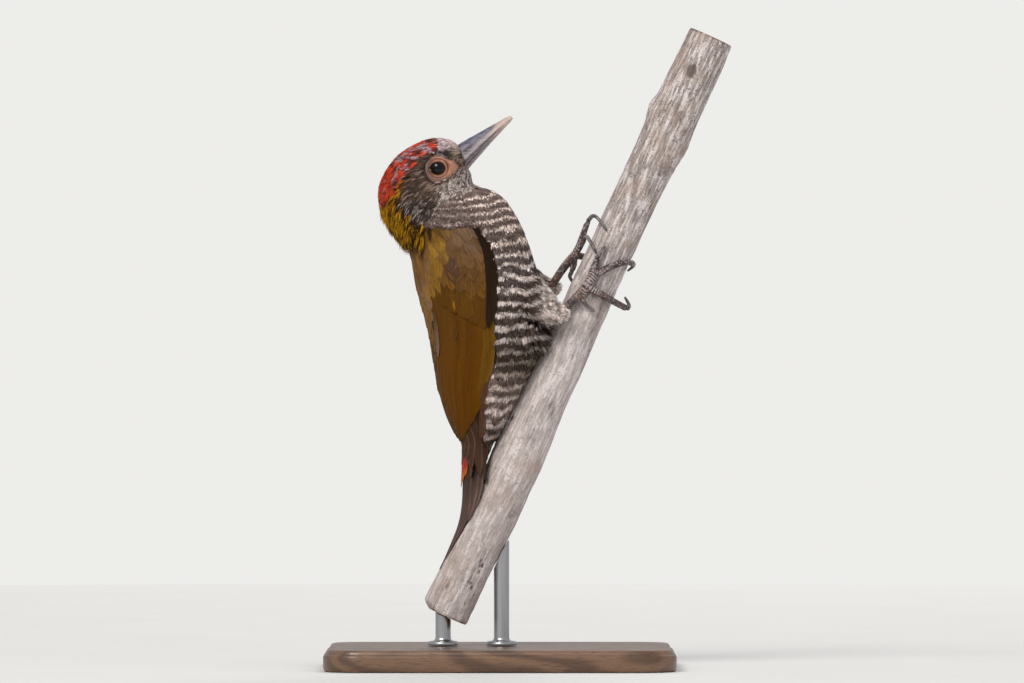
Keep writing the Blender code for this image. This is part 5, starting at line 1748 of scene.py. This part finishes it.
def makeFootMaterial():
    material, where = newMaterial("foot skin")
    ridge, upper, ankle = parted(field(where.tree, "scute"))
    out = mottled(where, (0.1, 0.074, 0.07), (0.042, 0.029, 0.027), 520.0, 0.42, 0.6, 0.5, 3500.0)
    red, fleck = cloudy(where, 380.0, 2.0), cloudy(where, 1500.0, 2.0)
    # painted highlight: pale scute ridges on the upper side, where the light falls
    colour = blend(stretch(ridge, 0.62, 0.95) * stretch(upper, 0.5, 1.0), out["Color"], (0.36, 0.3, 0.29))
    # painted shade: dark grooves between the scutes, strongest on the upper side
    colour = blend((1.0 - stretch(ridge, 0.0, 0.4)) * (upper * 0.6 + 0.25), colour, (0.022, 0.015, 0.014))
    reddened = stretch(red, 0.54, 0.64, 0.0, 0.6).sum("MAXIMUM", ankle * stretch(red, 0.4, 0.58, 0.25, 0.75))
    colour = blend(reddened, colour, (0.19, 0.085, 0.055))
    colour = blend(stretch(fleck, 0.54, 0.64, 0.0, 0.7), colour, (0.4, 0.34, 0.34))
    scales = addNode(where.tree, "TexVoronoi", {"Vector": where, "Scale": 2400.0})
    return finishMaterial(material, colour, stretch(out["Mask"], 0.0, 1.0, 0.55, 0.7),
                          Wire(scales.outputs["Distance"]) + out["Height"], 0.1, Specular_IOR_Level=0.35)


def toeEnds(label):
    # rounded ends that take in the base of each claw
    leg = nodeTree("leg_" + label)
    ends = []
    for toe in toes:
        node = nodes["claw_" + toe + "_" + label]
        near = sorted((leg.find_nearest(v.co)[3], tuple(v.co)) for v in node.data.vertices)[:8]
        ends.append(np.mean([spot for _, spot in near], axis=0))
    return ends


def makeFoot(label, material):
    ends = toeEnds(label)
    piece = copyOf(["leg_" + label], "foot_skin_" + label, 0.12 * mm)
    build = bmesh.new()
    build.from_mesh(piece.data)
    for end in ends:
        ball = bmesh.ops.create_icosphere(build, subdivisions=3, radius=feet["toeEnd"] * mm)
        bmesh.ops.translate(build, verts=ball["verts"], vec=Vector(end))
    build.to_mesh(piece.data)
    build.free()
    remesh(piece, feet["voxel"] * mm, 3, 0.6)
    points = readPoints(piece) / mm
    normals = readPoints(piece, "normal")
    hub = np.array(feet["hubs"][label])
    away = np.linalg.norm(points - hub, axis=1)
    line = points - branchCentre / mm
    radial = line - (line @ branchWay)[:, None] * branchWay
    outward = np.sum(unit(radial) * normals, axis=1)
    upper = ease(outward, -0.1, 0.6)
    tarsus = ease(hub[0] - 2.0 - points[:, 0] + 0.4 * (hub[2] - points[:, 2]), 0.0, 2.0)
    front = ease(normals @ np.array([-0.55, -0.1, 0.83]), -0.2, 0.5)
    # scutes stand out most where the toes meet, on the upper edge
    upper = (upper * (1 - tarsus) + front * tarsus) * (0.22 + 0.78 * hump(away, 3.0, 3.6))
    wave = np.abs(np.sin(pi * away / feet["scute"]))
    lift = (wave**0.7 - 0.6) * feet["relief"] * (0.25 + 0.75 * upper)
    movePoints(piece, (points + normals * lift[:, None]) * mm)
    shadeSmooth(piece)
    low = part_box("leg_" + label)[0]
    ankle = 1 - ease(points[:, 0], low.x / mm + 1.0, low.x / mm + 4.5)
    # the second value marks the upper side, where the material paints highlights on the ridges and shade in
    # the grooves
    addField(piece, "scute", np.column_stack([wave * (0.3 + 0.7 * upper) + 0.35 * (1 - upper), upper, ankle]))
    giveMaterial(piece, material)
    finishPiece(piece, "leg_skin", "leg_" + label)


def makeClawMaterial():
    material, where = newMaterial("claw horn")
    out = mottled(where, (0.075, 0.062, 0.062), (0.2, 0.175, 0.17), 520.0, 0.42, 0.65, 0.4, 4000.0)
    rough = stretch(out["Mask"], 0.0, 1.0, 0.25, 0.4)
    return finishMaterial(material, out["Color"], rough, out["Height"], 0.05, Specular_IOR_Level=0.5)


def makeClaw(toe, label, material):
    node = "claw_" + toe + "_" + label
    piece = copyOf([node], "horn_" + node, 0.32 * mm)
    soft = piece.modifiers.new("round", "SUBSURF")
    soft.levels = 3
    applyModifiers(piece)
    shadeSmooth(piece)
    giveMaterial(piece, material)
    finishPiece(piece, "claw", node)


footMaterial = makeFootMaterial()
clawMaterial = makeClawMaterial()
for label in sides:
    makeFoot(label, footMaterial)
    for toe in toes:
        makeClaw(toe, label, clawMaterial)
print("feet: done")


# Profiles go from the bottom up: the board's is height and inset, a rod's foot is height and radius.
stand = {"corner": 12.0, "steps": 14, "sides": 48,
         "board": [(0.0, 1.2), (0.35, 0.35), (1.2, 0.0), (4.6, 0.0), (5.2, 0.25), (5.5, 0.9), (5.9, 1.15),
                   (6.5, 1.35), (6.85, 1.75), (7.0, 2.4)],
         "rod": [(0.0, 4.6), (0.25, 4.95), (0.7, 5.0), (1.05, 4.85), (1.3, 4.4), (1.4, 3.4), (1.6, 2.85),
                 (2.0, 2.55), (2.6, 2.45)]}


def makeWalnut():
    material, where = newMaterial("walnut board")
    grain = scaled(where, (0.1, 1.0, 1.0))
    line = (cloudy(scaled(where, (0.35, 1.0, 1.0)), 30.0, 2.0) * 60.0).sum("SINE")
    pores = cloudy(grain, 2600.0, 3.0, 0.65)
    colour = blend(stretch(line, -0.9, 0.9), (0.085, 0.042, 0.022), (0.165, 0.088, 0.048))
    colour = blend(stretch(pores, 0.52, 0.68, 0.0, 0.7), colour, (0.035, 0.017, 0.01))
    out = mottled(grain, colour, (0.12, 0.065, 0.036), 200.0, 0.45, 0.8, 0.25, 3000.0)
    rough = stretch(pores, 0.4, 0.7, 0.34, 0.55)
    return finishMaterial(material, out["Color"], rough, pores, 0.05, strength=0.5, Coat_Weight=0.25,
                          Coat_Roughness=0.2)


def makeSteel():
    material, where = newMaterial("brushed steel")
    drawn = scaled(where, (1.0, 1.0, 0.05))
    out = mottled(drawn, (0.5, 0.5, 0.51), (0.42, 0.42, 0.43), 900.0, 0.3, 0.7, 0.12, 5000.0)
    rough = stretch(out["Mask"], 0.0, 1.0, 0.3, 0.38)
    return finishMaterial(material, out["Color"], rough, out["Height"], 0.004, strength=0.2, Metallic=1.0)


def makeTurned(name, rings, material, slot, node):
    # a closed solid from rings of points in millimetres, crisp where its faces turn sharply
    rings = np.array(rings)
    piece = newMesh(name, rings.reshape(-1, 3) * mm, [tubeFaces(*rings.shape[:2])], material)
    closeEnds(piece)
    piece.data.set_sharp_from_angle(angle=0.7)
    finishPiece(piece, slot, node)


def makeBase():
    low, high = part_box("stand_base")
    halfX, halfY = (high.x - low.x) / 2 / mm, (high.y - low.y) / 2 / mm
    rings = []
    for height, inset in stand["board"]:
        corner = stand["corner"] - inset
        ring = []
        for quarter, (sx, sy) in enumerate(((1, 1), (-1, 1), (-1, -1), (1, -1))):
            cx, cy = sx * (halfX - stand["corner"]), sy * (halfY - stand["corner"])
            for step in range(stand["steps"] + 1):
                turn = pi / 2 * (quarter + step / stand["steps"])
                ring.append((cx + corner * cos(turn), cy + corner * sin(turn), height))
        rings.append(ring)
    rings += [[(x * share, y * share, z) for x, y, z in ring] for share in (0.98, 0.9, 0.75, 0.5, 0.25)]
    makeTurned("stand_board", rings, makeWalnut(), "stand_wood", "stand_base")


def makeRod(node, material):
    low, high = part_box(node)
    centreX, centreY = (low.x + high.x) / 2 / mm, (low.y + high.y) / 2 / mm
    cad = nodeTree(node)
    turns = [2 * pi * step / stand["sides"] for step in range(stand["sides"])]
    rings = [[(centreX + radius * cos(turn), centreY + radius * sin(turn), low.z / mm + height)
              for turn in turns] for height, radius in stand["rod"]]
    shoulder, top = [], []
    for x, y, _ in rings[-1]:
        nearX, nearY = x * 0.96 + centreX * 0.04, y * 0.96 + centreY * 0.04
        hit = cad.ray_cast(Vector((nearX * mm, nearY * mm, 0.3)), Vector((0, 0, -1)))[0]
        height = hit.z / mm if hit else high.z / mm - 1
        shoulder.append((x, y, height - 0.25))
        top.append((centreX + (x - centreX) * 0.92, centreY + (y - centreY) * 0.92, height))
    makeTurned(node.replace("stand_", "stand_steel_"), rings + [shoulder, top], material, "stand_steel", node)


makeBase()
steel = makeSteel()
for node in ("stand_rod_end", "stand_rod_side"):
    makeRod(node, steel)
print("stand: done")


view = {"focal": 300.0, "sensor": 36.0, "distance": 2731.0, "x": 3.84, "z": 104.5,
        "light": (0.5, 0.51, 0.525), "backdrop": (0.85, 0.845, 0.825), "floorReach": 0.95}


def addLight(name, place, size, energy, colour):
    light = bpy.data.lights.new(name, "AREA")
    light.shape = "RECTANGLE"
    light.size, light.size_y = size
    light.energy = energy
    light.color = colour
    lamp = bpy.data.objects.new(name, light)
    lamp.location = place
    lamp.rotation_euler = (Vector((0, 0, 0.11)) - Vector(place)).to_track_quat("-Z", "Y").to_euler()
    lamp.visible_glossy = name == "key"      # one highlight in the eye
    scene.collection.objects.link(lamp)


def makeStage():
    camera = bpy.data.cameras.new("camera")
    camera.lens = view["focal"]
    camera.sensor_width = view["sensor"]
    camera.clip_end = 50.0
    holder = bpy.data.objects.new("camera", camera)
    holder.location = (view["x"] * mm, -view["distance"] * mm, view["z"] * mm)
    holder.rotation_euler = (pi / 2, 0, 0)
    scene.collection.objects.link(holder)
    scene.camera = holder
    world = bpy.data.worlds.new("studio")
    scene.world = world
    world.use_nodes = True
    tree = world.node_tree
    soft = tree.nodes["Background"]
    soft.inputs["Color"].default_value = (*view["light"], 1.0)
    shown = tree.nodes.new("ShaderNodeBackground")
    shown.inputs["Color"].default_value = (*view["backdrop"], 1.0)
    mix = tree.nodes.new("ShaderNodeMixShader")
    tree.links.new(tree.nodes.new("ShaderNodeLightPath").outputs["Is Camera Ray"], mix.inputs[0])
    tree.links.new(soft.outputs[0], mix.inputs[1])
    tree.links.new(shown.outputs[0], mix.inputs[2])
    tree.links.new(mix.outputs[0], tree.nodes["World Output"].inputs["Surface"])
    addLight("key", (-0.9, -1.5, 1.7), (1.0, 1.0), 42.0, (1.0, 0.97, 0.93))
    addLight("fill", (1.6, -1.4, 0.7), (1.4, 1.4), 14.0, (0.95, 0.97, 1.0))
    addLight("rim", (0.4, 1.6, 1.5), (1.2, 1.2), 26.0, (1.0, 1.0, 1.0))
    scene.view_settings.view_transform = "Standard"
    material, where = newMaterial("studio floor")
    out = mottled(where, (0.615, 0.605, 0.585), (0.605, 0.595, 0.576), 14.0, 0.4, 0.6, 0.05, 400.0)
    finishMaterial(material, out["Color"], 0.8, out["Height"], 0.05)
    turns = 2 * pi * np.arange(128) / 128
    rim = view["floorReach"] * np.column_stack([np.cos(turns), np.sin(turns), np.zeros(128)])
    floor = newMesh("floor", rim, [np.arange(128)[None]], material)


makeStage()
print("stage: done")
